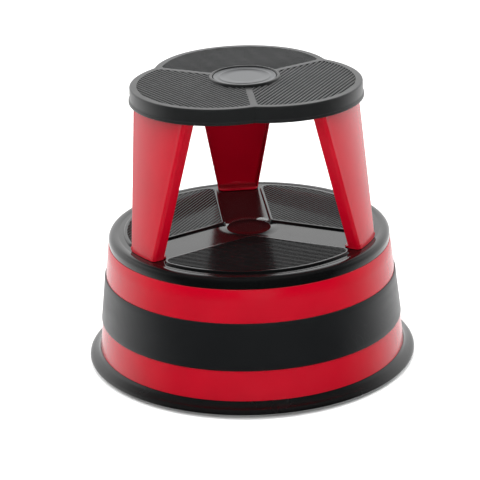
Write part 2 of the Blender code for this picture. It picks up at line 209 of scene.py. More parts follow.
def inside(point: Flat, outline: Sequence[Flat]) -> bool:
    """Whether a point lies inside a closed outline.

    Args:
        point: The point.
        outline: The outline's corners.

    Returns:
        True if it does.
    """
    x, y = point
    found = False
    for i, (bx, by) in enumerate(outline):
        ax, ay = outline[i - 1]
        if (ay > y) != (by > y) and x < ax + (y - ay) * (bx - ax) / (by - ay):
            found = not found
    return found


def sector(centre: float, radius: float, offset: float, corner: float, tip: float = 0.0, inner: float = 0.0,
           steps: int = 40) -> list[Flat]:
    """A sector about +X between lines at 60 degrees either side, with rounded corners.

    Args:
        centre: Where on +X the outer arc is centred.
        radius: Radius of the outer arc.
        offset: How far the straight sides are set in.
        corner: Radius of the two outer corners.
        tip: Radius of the rounded tip, where there is no inner circle.
        inner: Radius of the circle that it ends on, or 0.
        steps: Chords in the outer arc.

    Returns:
        The outline, anticlockwise.
    """
    ux, uy = polar(1.0, 60.0)
    off = offset + corner
    bx, by = off * uy - centre, -off * ux
    dot = ux * bx + uy * by
    along = -dot + math.sqrt(dot * dot - (bx * bx + by * by) + (radius - corner) ** 2)
    cx, cy = along * ux + off * uy, along * uy - off * ux
    lean = math.degrees(math.atan2(cy, cx - centre))
    upper = arc((cx, cy), corner, lean, 150.0, 8)
    outer = arc((centre, 0.0), radius, -lean, lean, steps)
    if inner:
        side = math.sqrt(inner * inner - offset * offset)
        start = math.degrees(math.atan2(side * uy - offset * ux, side * ux + offset * uy))
        end = arc((0.0, 0.0), inner, start, -start, 16)
    else:
        end = arc(((offset + tip) / uy, 0.0), tip, 150.0, 210.0, 8)
    return outer[:-1] + upper + end + [(x, -y) for x, y in reversed(upper)][:-1]


# ---- meshes ----------------------------------------------------------------------------
class Shape:
    """Points and faces gathered for one piece, in millimetres."""

    def __init__(self) -> None:
        """Starts empty."""
        self.points: list[Point] = []
        self.faces: list[tuple[int, ...]] = []

    def ring(self, points: Iterable[Point]) -> list[int]:
        """Adds points.

        Args:
            points: Points in order.

        Returns:
            Their indices.
        """
        start = len(self.points)
        self.points += [tuple(p) for p in points]
        return list(range(start, len(self.points)))

    def wall(self, rows: Sequence[Sequence[int]], loop: bool = False) -> None:
        """Joins rows of equally many points with faces; a row of one point closes a pole.

        Args:
            rows: Rows of indices.
            loop: Whether the last row joins the first.
        """
        count = max(len(row) for row in rows)
        for k in range(len(rows) if loop else len(rows) - 1):
            low, high = rows[k], rows[(k + 1) % len(rows)]
            for i in range(count):
                corners = (low[i % len(low)], low[(i + 1) % count % len(low)],
                           high[(i + 1) % count % len(high)], high[i % len(high)])
                face = tuple(dict.fromkeys(corners))
                if len(face) > 2:
                    self.faces.append(face)

    def cap(self, row: Sequence[int]) -> None:
        """Closes a row with one face.

        Args:
            row: Indices of the outline.
        """
        self.faces.append(tuple(row))

    def stack(self, rows: Sequence[Sequence[Point]]) -> None:
        """Adds a solid through rows of points, closed at both ends.

        Args:
            rows: Rows of equally many points.
        """
        made = [self.ring(row) for row in rows]
        self.wall(made)
        self.cap(made[0])
        self.cap(made[-1])

    def lathe(self, profile: Sequence[Flat], segments: int, place: Matrix | None = None) -> None:
        """Adds a profile turned about +Z, then placed.

        Args:
            profile: (radius, height) points, closed, or open with both ends on the axis.
            segments: Number of sides.
            place: Where it goes, in millimetres.
        """
        place = place or Matrix.Identity(4)
        rows = []
        for radius, height in profile:
            count = 1 if radius == 0.0 else segments
            rows.append(self.ring(place @ Vector((*polar(radius, 360.0 * i / segments), height))
                                  for i in range(count)))
        self.wall(rows, loop=True)

    def slab(self, outline: Sequence[Flat], low: float, high: float, ease: float, spin: float = 0.0) -> None:
        """Adds a plate with rounded edges.

        Args:
            outline: Its anticlockwise outline.
            low: Height of its underside.
            high: Height of its top.
            ease: Radius of its edges.
            spin: Turn about the axis in degrees.
        """
        path = [(ease * (1 - math.sin(a)),
                 low + ease * (1 - math.cos(a))) for a in (math.pi / 2 * k / 3 for k in range(4))]
        path += [(d, low + high - z) for d, z in reversed(path)]
        self.stack([[(x, y, z) for x, y in turned(drawn_in(outline, d), spin)] for d, z in path])

    def build(self, name: str, material: bpy.types.Material, sharp: float = 35.0) -> bpy.types.Object:
        """Makes the object, its faces turned outwards.

        Args:
            name: The piece's name.
            material: Its material.
            sharp: Edges steeper than this many degrees stay crisp.

        Returns:
            The object.
        """
        bm = bmesh.new()
        made = [bm.verts.new(Vector(p) * MM) for p in self.points]
        for face in self.faces:
            bm.faces.new([made[i] for i in face])
        bmesh.ops.remove_doubles(bm, verts=bm.verts, dist=1e-7)
        bmesh.ops.recalc_face_normals(bm, faces=bm.faces)
        if bm.calc_volume(signed=True) < 0.0:
            bmesh.ops.reverse_faces(bm, faces=bm.faces)
        mesh = bpy.data.meshes.new(name)
        bm.to_mesh(mesh)
        bm.free()
        mesh.materials.append(material)
        mesh.shade_smooth()
        mesh.set_sharp_from_angle(angle=math.radians(sharp))
        made_object = bpy.data.objects.new(name, mesh)
        bpy.context.scene.collection.objects.link(made_object)
        return made_object


def settle(piece: bpy.types.Object, nodes: Sequence[str] = (),
           body: str = BODY) -> bpy.types.Object:
    """Hands a finished piece to the frame and reports it.

    Args:
        piece: The finished piece.
        nodes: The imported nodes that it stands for.
        body: The body that it moves with.

    Returns:
        The piece.
    """
    if nodes:
        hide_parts(*nodes)
    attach(piece, body)
    LOG.info("%s: %d faces on %s", piece.name, len(piece.data.polygons), body)
    return piece


# ---- node trees ------------------------------------------------------------------------
class Graph:
    """Adds and joins nodes in one tree."""

    def __init__(self, tree: bpy.types.NodeTree) -> None:
        """Takes the tree to work in.

        Args:
            tree: A shader or geometry tree.
        """
        self.tree = tree

    def add(self, kind: str, inputs: dict[str | int, Value] | None = None,
            **settings: object) -> bpy.types.Node:
        """Adds a node.

        Args:
            kind: The node's type.
            inputs: Socket name or number to a value or another node's output.
            **settings: Properties of the node.

        Returns:
            The node.
        """
        node = self.tree.nodes.new(kind)
        for name, value in settings.items():
            setattr(node, name, value)
        for name, value in (inputs or {}).items():
            self.feed(node.inputs[name], value)
        return node

    def feed(self, socket: bpy.types.NodeSocket, value: Value) -> None:
        """Joins an output to a socket, or sets the socket.

        Args:
            socket: The input.
            value: An output socket or a plain value.
        """
        if isinstance(value, bpy.types.NodeSocket):
            self.tree.links.new(value, socket)
        else:
            socket.default_value = value

    def maths(self, operation: str, a: Value, b: Value = 0.0, c: Value = 0.0,
              clamp: bool = False) -> bpy.types.NodeSocket:
        """Adds a Math node.

        Args:
            operation: Its operation.
            a: First value.
            b: Second value.
            c: Third value.
            clamp: Whether the result is held between 0 and 1.

        Returns:
            Its output.
        """
        return self.add("ShaderNodeMath", {0: a, 1: b, 2: c}, operation=operation,
                        use_clamp=clamp).outputs[0]

    def remap(self, value: Value, low: float, high: float, to_low: float,
              to_high: float) -> bpy.types.NodeSocket:
        """Adds a clamped Map Range node.

        Args:
            value: What is remapped.
            low: Start of its range.
            high: End of its range.
            to_low: Result at the start.
            to_high: Result at the end.

        Returns:
            Its output.
        """
        return self.add("ShaderNodeMapRange",
                        {"Value": value, "From Min": low, "From Max": high, "To Min": to_low,
                                               "To Max": to_high}).outputs["Result"]

    def blend(self, share: Value, first: Value, second: Value) -> bpy.types.NodeSocket:
        """Adds a colour Mix node.

        Args:
            share: How much of the second colour.
            first: Colour at share 0.
            second: Colour at share 1.

        Returns:
            Its colour output.
        """
        node = self.add("ShaderNodeMix", data_type="RGBA")
        self.feed(node.inputs[0], share)
        self.feed(node.inputs[6], first)
        self.feed(node.inputs[7], second)
        return node.outputs[2]

    def noise(self, vector: Value, scale: Value, detail: float = 2.0,
              roughness: float = 0.5) -> bpy.types.NodeSocket:
        """Adds a Noise Texture.

        Args:
            vector: Its coordinates.
            scale: Its scale.
            detail: Its octaves.
            roughness: How strong the finer octaves are.

        Returns:
            Its factor output.
        """
        return self.add("ShaderNodeTexNoise", {"Vector": vector, "Scale": scale, "Detail": detail,
                                               "Roughness": roughness}).outputs["Fac"]


class SharedEffect(Graph):
    """A shader node group that several materials use, built once."""

    def __init__(self, name: str, inputs: dict[str, float | None], outputs: Sequence[str]) -> None:
        """Makes the group and its sockets.

        Args:
            name: The group's name.
            inputs: Input name to its default; None makes a vector input.
            outputs: Names of its value outputs.
        """
        super().__init__(bpy.data.node_groups.new(name, "ShaderNodeTree"))
        for label, default in inputs.items():
            kind = "NodeSocketVector" if default is None else "NodeSocketFloat"
            socket = self.tree.interface.new_socket(name=label, in_out="INPUT", socket_type=kind)
            if default is not None:
                socket.default_value = default
        for label in outputs:
            self.tree.interface.new_socket(name=label, in_out="OUTPUT", socket_type="NodeSocketFloat")
        self.inlet = self.add("NodeGroupInput").outputs
        self.outlet = self.add("NodeGroupOutput").inputs

    def use(self, graph: Graph, **values: Value) -> bpy.types.bpy_prop_collection:
        """Places the group in a material.

        Args:
            graph: The material's graph.
            **values: Input name, with _ for a space, to a value or output.

        Returns:
            The placed group's outputs.
        """
        node = graph.add("ShaderNodeGroup", node_tree=self.tree)
        for name, value in values.items():
            graph.feed(node.inputs[name.replace("_", " ")], value)
        return node.outputs


class Effects:
    """The shared effects: moulding grain, worn edges, settled dust and handling marks."""

    def __init__(self) -> None:
        """Builds each group once."""
        self.grain = self._grain()
        self.wear = self._wear()
        self.dust = self._dust()
        self.marks = self._marks()

    @staticmethod
    def _grain() -> SharedEffect:
        """Fine surface texture: a height, and a slow mottle for colour and gloss."""
        group = SharedEffect("surface_grain", {"Vector": None, "Grain Scale": 900.0, "Mottle Scale": 30.0},
                             ("Height", "Mottle"))
        fine = group.noise(group.inlet["Vector"], group.inlet["Grain Scale"], 3.0, 0.6)
        slow = group.noise(group.inlet["Vector"], group.inlet["Mottle Scale"], 2.0, 0.5)
        group.feed(group.outlet["Height"], fine)
        group.feed(group.outlet["Mottle"], slow)
        return group

    @staticmethod
    def _wear() -> SharedEffect:
        """A mask of convex edges, broken up as rubbing leaves them."""
        group = SharedEffect("edge_wear",
                             {"Vector": None, "Onset": 0.53, "Patch Scale": 90.0, "Amount": 0.5}, ("Mask",))
        edge = group.add("ShaderNodeNewGeometry").outputs["Pointiness"]
        reach = group.maths("SUBTRACT", edge, group.inlet["Onset"])
        reach = group.maths("MULTIPLY", reach, 14.0, clamp=True)
        patch = group.remap(group.noise(group.inlet["Vector"], group.inlet["Patch Scale"], 4.0, 0.6), 0.4,
                            0.62, 0.15, 1.0)
        mask = group.maths("MULTIPLY", reach, patch)
        group.feed(group.outlet["Mask"], group.maths("MULTIPLY", mask, group.inlet["Amount"], clamp=True))
        return group

    @staticmethod
    def _dust() -> SharedEffect:
        """A mask of faces that look up, where dust lies in soft patches."""
        group = SharedEffect("settled_dust", {"Vector": None, "Patch Scale": 14.0, "Amount": 0.1}, ("Mask",))
        normal = group.add("ShaderNodeNewGeometry").outputs["Normal"]
        up = group.add("ShaderNodeSeparateXYZ", {0: normal}).outputs["Z"]
        level = group.remap(up, 0.6, 1.0, 0.0, 1.0)
        patch = group.remap(group.noise(group.inlet["Vector"], group.inlet["Patch Scale"], 5.0, 0.65), 0.35,
                            0.7, 0.3, 1.0)
        mask = group.maths("MULTIPLY", level, patch)
        group.feed(group.outlet["Mask"], group.maths("MULTIPLY", mask, group.inlet["Amount"], clamp=True))
        return group

    @staticmethod
    def _marks() -> SharedEffect:
        """Sparse hairline marks and smears from handling."""
        group = SharedEffect("handling_marks", {"Vector": None, "Mark Scale": 40.0, "Amount": 0.5},
                             ("Mask", "Smear"))
        bent = group.add("ShaderNodeTexNoise",
                         {"Vector": group.inlet["Vector"], "Scale": 6.0, "Detail": 1.0})
        shifted = group.add("ShaderNodeVectorMath", {0: group.inlet["Vector"], 1: bent.outputs["Color"]},
                            operation="ADD").outputs[0]
        lines = group.add("ShaderNodeTexVoronoi", {"Vector": shifted, "Scale": group.inlet["Mark Scale"]},
                          feature="DISTANCE_TO_EDGE").outputs["Distance"]
        hair = group.remap(lines, 0.0, 0.012, 1.0, 0.0)
        where = group.remap(group.noise(group.inlet["Vector"], 9.0, 3.0), 0.58, 0.7, 0.0, 1.0)
        mask = group.maths("MULTIPLY", hair, where)
        group.feed(group.outlet["Mask"], group.maths("MULTIPLY", mask, group.inlet["Amount"], clamp=True))
        smear = group.remap(group.noise(shifted, 11.0, 4.0, 0.6), 0.35, 0.7, 0.0, 1.0)
        group.feed(group.outlet["Smear"], group.maths("MULTIPLY", smear, group.inlet["Amount"], clamp=True))
        return group


class FinishGraph(Graph):
    """The node tree of one material, with its Principled shader and object coordinates."""

    def __init__(self, name: str) -> None:
        """Makes the material.

        Args:
            name: Its name.
        """
        self.material = bpy.data.materials.new(name)
        self.material.use_nodes = True
        super().__init__(self.material.node_tree)
        self.shader = self.tree.nodes["Principled BSDF"]
        self.place = self.add("ShaderNodeTexCoord").outputs["Object"]

    def set(self, **values: Value) -> None:
        """Sets or joins inputs of the Principled shader.

        Args:
            **values: Input name, with _ for a space, to a value or output.
        """
        for name, value in values.items():
            self.feed(self.shader.inputs[name.replace("_", " ")], value)

    def relief(self, height: Value, depth: float, strength: float = 1.0) -> None:
        """Joins a height to the shader's normal.

        Args:
            height: The height, 0 to 1.
            depth: Its depth in millimetres.
            strength: How strongly it shows.
        """
        bump = self.add("ShaderNodeBump", {"Strength": strength, "Distance": depth * MM, "Height": height})
        self.set(Normal=bump.outputs["Normal"])


@dataclass(frozen=True)
class EnamelFinish:
    """Glossy baked enamel on pressed steel, with slight orange peel."""

    name: str = "red_enamel"
    colour: tuple[float, float, float] = (0.30, 0.0002, 0.008)
    gloss: float = 0.17
    reflectance: float = 0.45
    peel_depth: float = 0.012

    def material(self, effects: Effects) -> bpy.types.Material:
        """Builds the material.

        Args:
            effects: The shared effects.

        Returns:
            The material.
        """
        graph = FinishGraph(self.name)
        grain = effects.grain.use(graph, Vector=graph.place, Grain_Scale=420.0, Mottle_Scale=26.0)
        marks = effects.marks.use(graph, Vector=graph.place, Mark_Scale=22.0, Amount=0.35)
        wear = effects.wear.use(graph, Vector=graph.place, Onset=0.56, Patch_Scale=120.0,
                                Amount=0.18)["Mask"]
        dust = effects.dust.use(graph, Vector=graph.place, Patch_Scale=20.0, Amount=0.05)["Mask"]
        deep = (*(c * 0.86 for c in self.colour), 1.0)
        body = graph.blend(grain["Mottle"], deep, (*(min(1.0, c * 1.12) for c in self.colour), 1.0))
        body = graph.blend(wear, body, (0.62, 0.05, 0.06, 1.0))
        body = graph.blend(dust, body, (0.45, 0.40, 0.38, 1.0))
        rough = graph.maths("MULTIPLY_ADD", grain["Mottle"], 0.06, self.gloss - 0.03)
        rough = graph.maths("MULTIPLY_ADD", marks["Smear"], 0.10, rough)
        rough = graph.maths("MULTIPLY_ADD", marks["Mask"], 0.25, rough)
        graph.set(Base_Color=body, Roughness=rough, Specular_IOR_Level=self.reflectance)
        graph.relief(grain["Height"], self.peel_depth)
        return graph.material


@dataclass(frozen=True)
class MouldedFinish:
    """Black moulded plastic with a fine grain, more or less glossy."""

    name: str
    colour: tuple[float, float, float] = (0.0075, 0.008, 0.0082)
    gloss: float = 0.3
    grain_scale: float = 1500.0
    grain_depth: float = 0.02
    wave_depth: float = 0.0
    wear: float = 0.15
    dust: float = 0.02
    reflectance: float = 0.5

    def material(self, effects: Effects) -> bpy.types.Material:
        """Builds the material.

        Args:
            effects: The shared effects.

        Returns:
            The material.
        """
        graph = FinishGraph(self.name)
        grain = effects.grain.use(graph, Vector=graph.place, Grain_Scale=self.grain_scale, Mottle_Scale=38.0)
        marks = effects.marks.use(graph, Vector=graph.place, Mark_Scale=34.0, Amount=0.5)
        wear = effects.wear.use(graph, Vector=graph.place, Onset=0.54, Patch_Scale=150.0,
                                Amount=self.wear)["Mask"]
        dust = effects.dust.use(graph, Vector=graph.place, Patch_Scale=18.0, Amount=self.dust)["Mask"]
        light = (*(c * 1.25 for c in self.colour), 1.0)
        body = graph.blend(grain["Mottle"], (*(c * 0.85 for c in self.colour), 1.0), light)
        body = graph.blend(wear, body, (0.075, 0.077, 0.08, 1.0))
        body = graph.blend(dust, body, (0.26, 0.25, 0.24, 1.0))
        rough = graph.maths("MULTIPLY_ADD", grain["Mottle"], 0.08, self.gloss - 0.04)
        rough = graph.maths("MULTIPLY_ADD", marks["Smear"], 0.08, rough)
        rough = graph.maths("MULTIPLY_ADD", marks["Mask"], 0.2, rough)
        graph.set(Base_Color=body, Roughness=rough, Specular_IOR_Level=self.reflectance)
        height = grain["Height"]
        if self.wave_depth:
            wave = graph.noise(graph.place, 46.0, 1.0, 0.4)
            height = graph.maths("MULTIPLY_ADD", wave, self.wave_depth / self.grain_depth, height)
        graph.relief(height, self.grain_depth)
        return graph.material


@dataclass(frozen=True)
class RubberFinish:
    """Extruded black rubber or vinyl, with faint lines along its run round the drum."""

    name: str
    colour: tuple[float, float, float] = (0.006, 0.006, 0.0064)
    gloss: float = 0.3
    line_pitch: float = 1.6
    line_depth: float = 0.02
    wear: float = 0.2
    reflectance: float = 0.5

    def material(self, effects: Effects) -> bpy.types.Material:
        """Builds the material.

        Args:
            effects: The shared effects.

        Returns:
            The material.
        """
        graph = FinishGraph(self.name)
        grain = effects.grain.use(graph, Vector=graph.place, Grain_Scale=1100.0, Mottle_Scale=18.0)
        marks = effects.marks.use(graph, Vector=graph.place, Mark_Scale=28.0, Amount=0.6)
        wear = effects.wear.use(graph, Vector=graph.place, Onset=0.55, Patch_Scale=80.0,
                                Amount=self.wear)["Mask"]
        height = graph.add("ShaderNodeSeparateXYZ", {0: graph.place}).outputs["Z"]
        lines = graph.add("ShaderNodeCombineXYZ", {2: height})
        lines = graph.noise(lines.outputs[0], 1000.0 / self.line_pitch, 1.0, 0.5)
        body = graph.blend(grain["Mottle"], (*(c * 0.85 for c in self.colour), 1.0),
                           (*(c * 1.2 for c in self.colour), 1.0))
        body = graph.blend(marks["Mask"], body, (0.05, 0.05, 0.052, 1.0))
        body = graph.blend(wear, body, (0.06, 0.06, 0.062, 1.0))
        rough = graph.maths("MULTIPLY_ADD", grain["Mottle"], 0.1, self.gloss - 0.05)
        rough = graph.maths("MULTIPLY_ADD", marks["Smear"], 0.1, rough)
        graph.set(Base_Color=body, Roughness=rough, Specular_IOR_Level=self.reflectance)
        graph.relief(graph.maths("MULTIPLY_ADD", lines, 0.6, grain["Height"]), self.line_depth)
        return graph.material


@dataclass(frozen=True)
class PlatedFinish:
    """Bright zinc plating, or galvanised sheet where the spangle is on."""

    name: str
    colour: tuple[float, float, float] = (0.58, 0.59, 0.61)
    gloss: float = 0.28
    spangle: float = 0.0

    def material(self, effects: Effects) -> bpy.types.Material:
        """Builds the material.

        Args:
            effects: The shared effects.

        Returns:
            The material.
        """
        graph = FinishGraph(self.name)
        grain = effects.grain.use(graph, Vector=graph.place, Grain_Scale=1300.0, Mottle_Scale=60.0)
        wear = effects.wear.use(graph, Vector=graph.place, Onset=0.55, Patch_Scale=160.0, Amount=0.3)["Mask"]
        share = grain["Mottle"]
        if self.spangle:
            cells = graph.add("ShaderNodeTexVoronoi",
                              {"Vector": graph.place, "Scale": self.spangle}).outputs["Color"]
            flake = graph.add("ShaderNodeSeparateColor", {0: cells}).outputs[0]
            share = graph.maths("MULTIPLY_ADD", share, 0.4, graph.maths("MULTIPLY", flake, 0.6))
        dark = (*(c * 0.72 for c in self.colour), 1.0)
        body = graph.blend(share, dark, (*(min(1.0, c * 1.18) for c in self.colour), 1.0))
        body = graph.blend(wear, body, (0.8, 0.8, 0.8, 1.0))
        graph.set(Base_Color=body, Metallic=1.0,
                  Roughness=graph.maths("MULTIPLY_ADD", share, 0.16, self.gloss - 0.08))
        graph.relief(grain["Height"], 0.01)
        return graph.material


@dataclass(frozen=True)
class BadgeFinish:
    """A blank cast plate with fine turning lines round its centre."""

    name: str = "turned_plate"
    colour: tuple[float, float, float] = (0.15, 0.155, 0.16)
    gloss: float = 0.36
    line_pitch: float = 0.9

    def material(self, effects: Effects) -> bpy.types.Material:
        """Builds the material.

        Args:
            effects: The shared effects.

        Returns:
            The material.
        """
        graph = FinishGraph(self.name)
        grain = effects.grain.use(graph, Vector=graph.place, Grain_Scale=900.0, Mottle_Scale=45.0)
        wear = effects.wear.use(graph, Vector=graph.place, Onset=0.54, Patch_Scale=120.0, Amount=0.3)["Mask"]
        apart = graph.add("ShaderNodeSeparateXYZ", {0: graph.place})
        level = graph.add("ShaderNodeCombineXYZ", {0: apart.outputs["X"], 1: apart.outputs["Y"]}).outputs[0]
        radius = graph.add("ShaderNodeVectorMath", {0: level}, operation="LENGTH").outputs["Value"]
        lines = graph.noise(graph.add("ShaderNodeCombineXYZ", {0: radius}).outputs[0],
                            1000.0 / self.line_pitch, 2.0, 0.7)
        share = graph.maths("MULTIPLY_ADD", grain["Mottle"], 0.5, graph.maths("MULTIPLY", lines, 0.5))
        body = graph.blend(share, (*(c * 0.7 for c in self.colour), 1.0),
                           (*(c * 1.3 for c in self.colour), 1.0))
        body = graph.blend(wear, body, (0.6, 0.6, 0.6, 1.0))
        graph.set(Base_Color=body, Metallic=1.0,
                  Roughness=graph.maths("MULTIPLY_ADD", share, 0.14, self.gloss - 0.07))
        graph.relief(lines, 0.03)
        return graph.material


@dataclass
class Finishes:
    """Every material of the stool, each built once."""

    effects: Effects
    enamel: bpy.types.Material = field(init=False)
    tread: bpy.types.Material = field(init=False)
    gloss_tread: bpy.types.Material = field(init=False)
    band: bpy.types.Material = field(init=False)
    ring: bpy.types.Material = field(init=False)
    sheet: bpy.types.Material = field(init=False)
    zinc: bpy.types.Material = field(init=False)
    tyre: bpy.types.Material = field(init=False)
    badge: bpy.types.Material = field(init=False)

    def __post_init__(self) -> None:
        """Builds the materials."""
        made = self.effects
        self.enamel = EnamelFinish().material(made)
        self.tread = MouldedFinish("black_step_moulding", gloss=0.34).material(made)
        self.gloss_tread = MouldedFinish("gloss_black_moulding", colour=(0.0016, 0.0017, 0.0018),
                                         gloss=0.13, reflectance=0.45,
                                         grain_depth=0.006, wave_depth=0.05, wear=0.05,
                                         dust=0.004).material(made)
        self.band = RubberFinish("bumper_vinyl", colour=(0.0055, 0.006, 0.0066), gloss=0.34,
                                 reflectance=0.4).material(made)
        self.ring = RubberFinish("floor_rubber", colour=(0.0018, 0.0018, 0.0019), gloss=0.22,
                                 wear=0.1).material(made)
        self.sheet = PlatedFinish("galvanised_sheet", colour=(0.5, 0.51, 0.53), gloss=0.4,
                                  spangle=85.0).material(made)
        self.zinc = PlatedFinish("zinc_plating").material(made)
        self.tyre = RubberFinish("caster_tyre", colour=(0.07, 0.07, 0.075), gloss=0.5).material(made)
        self.badge = BadgeFinish().material(made)


class GrowthTree(Graph):
    """A geometry tree with named inputs, whose result is kept as a plain mesh."""

    def __init__(self, name: str, inputs: dict[str, str]) -> None:
        """Makes the tree, its inputs and its geometry sockets.

        Args:
            name: The tree's name.
            inputs: Input name to socket type, such as Float.
        """
        super().__init__(bpy.data.node_groups.new(name, "GeometryNodeTree"))
        face = self.tree.interface
        face.new_socket(name="Geometry", in_out="INPUT", socket_type="NodeSocketGeometry")
        self.keys = {label: face.new_socket(name=label, in_out="INPUT",
                                            socket_type="NodeSocket" + kind).identifier
                     for label, kind in {**inputs, "Finish": "Material"}.items()}
        face.new_socket(name="Geometry", in_out="OUTPUT", socket_type="NodeSocketGeometry")
        self.inlet = self.add("NodeGroupInput").outputs

    def end(self, geometry: bpy.types.NodeSocket) -> None:
        """Finishes the tree with Realize Instances and Set Material.

        Args:
            geometry: What the tree has made.
        """
        whole = self.add("GeometryNodeRealizeInstances", {"Geometry": geometry}).outputs[0]
        dressed = self.add("GeometryNodeSetMaterial",
                           {"Geometry": whole, "Material": self.inlet["Finish"]}).outputs[0]
        self.add("NodeGroupOutput", {0: dressed})

    def grow(self, base: bpy.types.Object, sharp: float = 35.0, **values: Value) -> bpy.types.Object:
        """Runs the tree on an object and keeps the result as its mesh.

        Args:
            base: The object that the tree starts from.
            sharp: Edges steeper than this many degrees stay crisp.
            **values: Input name, with _ for a space, to its value.

        Returns:
            The object with its new mesh and no modifier.
        """
        modifier = base.modifiers.new("growth", "NODES")
        modifier.node_group = self.tree
        for name, value in values.items():
            modifier[self.keys[name.replace("_", " ")]] = value
        bpy.context.view_layer.update()
        graph = bpy.context.evaluated_depsgraph_get()
        mesh = bpy.data.meshes.new_from_object(base.evaluated_get(graph))
        base.modifiers.clear()
        old, base.data = base.data, mesh
        bpy.data.meshes.remove(old)
        mesh.name = base.name
        mesh.shade_smooth()
        mesh.set_sharp_from_angle(angle=math.radians(sharp))
        return base


class RibTree(GrowthTree):
    """Parallel ribs with bevelled edges, trimmed to the solid that they start from."""

    def __init__(self) -> None:
        """Builds the tree."""
        super().__init__("tread_ribs", {"Pitch": "Float", "Rib Width": "Float", "Rib Depth": "Float",
                                        "Edge Round": "Float", "Top": "Float", "First": "Float",
                                        "Count": "Int",
                                        "Reach": "Float", "Heading": "Float"})
        inlet = self.inlet
        section = self.add("GeometryNodeCurvePrimitiveQuadrilateral", {"Width": inlet["Rib Width"],
                                                                      "Height": inlet["Rib Depth"]})
        section = self.add("GeometryNodeFilletCurve", {"Curve": section.outputs[0], "Count": 1,
                                                       "Radius": inlet["Edge Round"], "Limit Radius": True},
                           mode="POLY").outputs[0]
        low = self.add("ShaderNodeCombineXYZ", {1: self.maths("MULTIPLY", inlet["Reach"], -1.0)}).outputs[0]
        high = self.add("ShaderNodeCombineXYZ", {1: inlet["Reach"]}).outputs[0]
        line = self.add("GeometryNodeCurvePrimitiveLine", {"Start": low, "End": high}).outputs[0]
        bar = self.add("GeometryNodeCurveToMesh",
                       {"Curve": line, "Profile Curve": section, "Fill Caps": True}).outputs[0]
        middle = self.maths("MULTIPLY_ADD", inlet["Rib Depth"], -0.5, inlet["Top"])
        start = self.add("ShaderNodeCombineXYZ", {0: inlet["First"], 2: middle}).outputs[0]
        pace = self.add("ShaderNodeCombineXYZ", {0: inlet["Pitch"]}).outputs[0]
        row = self.add("GeometryNodeMeshLine",
                       {"Count": inlet["Count"], "Start Location": start, "Offset": pace},
                       mode="OFFSET").outputs[0]
        ribs = self.add("GeometryNodeInstanceOnPoints", {"Points": row, "Instance": bar}).outputs[0]
        spin = self.add("ShaderNodeCombineXYZ", {2: inlet["Heading"]}).outputs[0]
        ribs = self.add("GeometryNodeTransform", {"Geometry": ribs, "Rotation": spin}).outputs[0]
        ribs = self.add("GeometryNodeRealizeInstances", {"Geometry": ribs}).outputs[0]
        trim = self.add("GeometryNodeMeshBoolean", operation="INTERSECT", solver="EXACT")
        self.tree.links.new(inlet["Geometry"], trim.inputs[1])
        self.tree.links.new(ribs, trim.inputs[1])
        self.end(trim.outputs[0])


class FastenerTree(GrowthTree):
    """One fastener on each point, each turned by its own amount."""

    def __init__(self) -> None:
        """Builds the tree."""
        super().__init__("fasteners", {"Part": "Object", "Most Turn": "Float", "Seed": "Int"})
        part = self.add("GeometryNodeObjectInfo", {"Object": self.inlet["Part"]}).outputs["Geometry"]
        most = self.add("ShaderNodeCombineXYZ", {2: self.inlet["Most Turn"]}).outputs[0]
        spin = self.add("FunctionNodeRandomValue", data_type="FLOAT_VECTOR")
        self.tree.links.new(most, spin.inputs[1])
        self.tree.links.new(self.inlet["Seed"], spin.inputs["Seed"])
        spin.inputs[0].default_value = (0.0, 0.0, 0.0)
        self.end(self.add("GeometryNodeInstanceOnPoints",
                          {"Points": self.inlet["Geometry"], "Instance": part,
                                                           "Rotation": spin.outputs[0]}).outputs[0])


class SpringTree(GrowthTree):
    """A coil spring of round wire, standing on its seat."""

    def __init__(self) -> None:
        """Builds the tree."""
        super().__init__("coil_spring", {"Turns": "Float", "Coil Radius": "Float", "Wire Radius": "Float",
                                         "Length": "Float", "Seat": "Vector"})
        inlet = self.inlet
        coil = self.add("GeometryNodeCurveSpiral", {"Resolution": 28, "Rotations": inlet["Turns"],
                                                    "Start Radius": inlet["Coil Radius"],
                                                    "End Radius": inlet["Coil Radius"],
                                                    "Height": inlet["Length"]})
        wire = self.add("GeometryNodeCurvePrimitiveCircle",
                        {"Resolution": 8, "Radius": inlet["Wire Radius"]})
        mesh = self.add("GeometryNodeCurveToMesh",
                        {"Curve": coil.outputs[0], "Profile Curve": wire.outputs[0],
                                                    "Fill Caps": True}).outputs[0]
        self.end(self.add("GeometryNodeTransform",
                          {"Geometry": mesh, "Translation": inlet["Seat"]}).outputs[0])


@dataclass
class Growth:
    """The geometry trees, each built once."""

    ribs: RibTree = field(default_factory=RibTree)
    fasteners: FastenerTree = field(default_factory=FastenerTree)
    springs: SpringTree = field(default_factory=SpringTree)


@dataclass
class RibbedField:
    """A ribbed area: where its ribs run, and how they are cut."""

    outline: list[Flat]
    heading: float
    floor: float
    top: float
    pitch: float
    rib_width: float
    edge_round: float
    first: float
    count: int

    def build(self, name: str, growth: Growth, material: bpy.types.Material) -> bpy.types.Object:
        """Grows the ribs inside the outline.

        Args:
            name: Name of the piece.
            growth: The geometry trees.
            material: The ribs' material.

        Returns:
            The piece.
        """
        trim = Shape()
        trim.stack([[(x, y, z) for x, y in turned(self.outline, self.heading)]
                    for z in (self.floor - 0.35, self.top + 2.0)])
        base = trim.build(name, material)
        sunk = self.top - self.floor + 0.2
        return growth.ribs.grow(base, Pitch=self.pitch * MM, Rib_Width=self.rib_width * MM,
                                Rib_Depth=sunk * MM * 1.6,
                                Edge_Round=self.edge_round * MM, Top=self.top * MM, First=self.first * MM,
                                Count=self.count, Reach=0.2, Heading=math.radians(self.heading),
                                Finish=material)


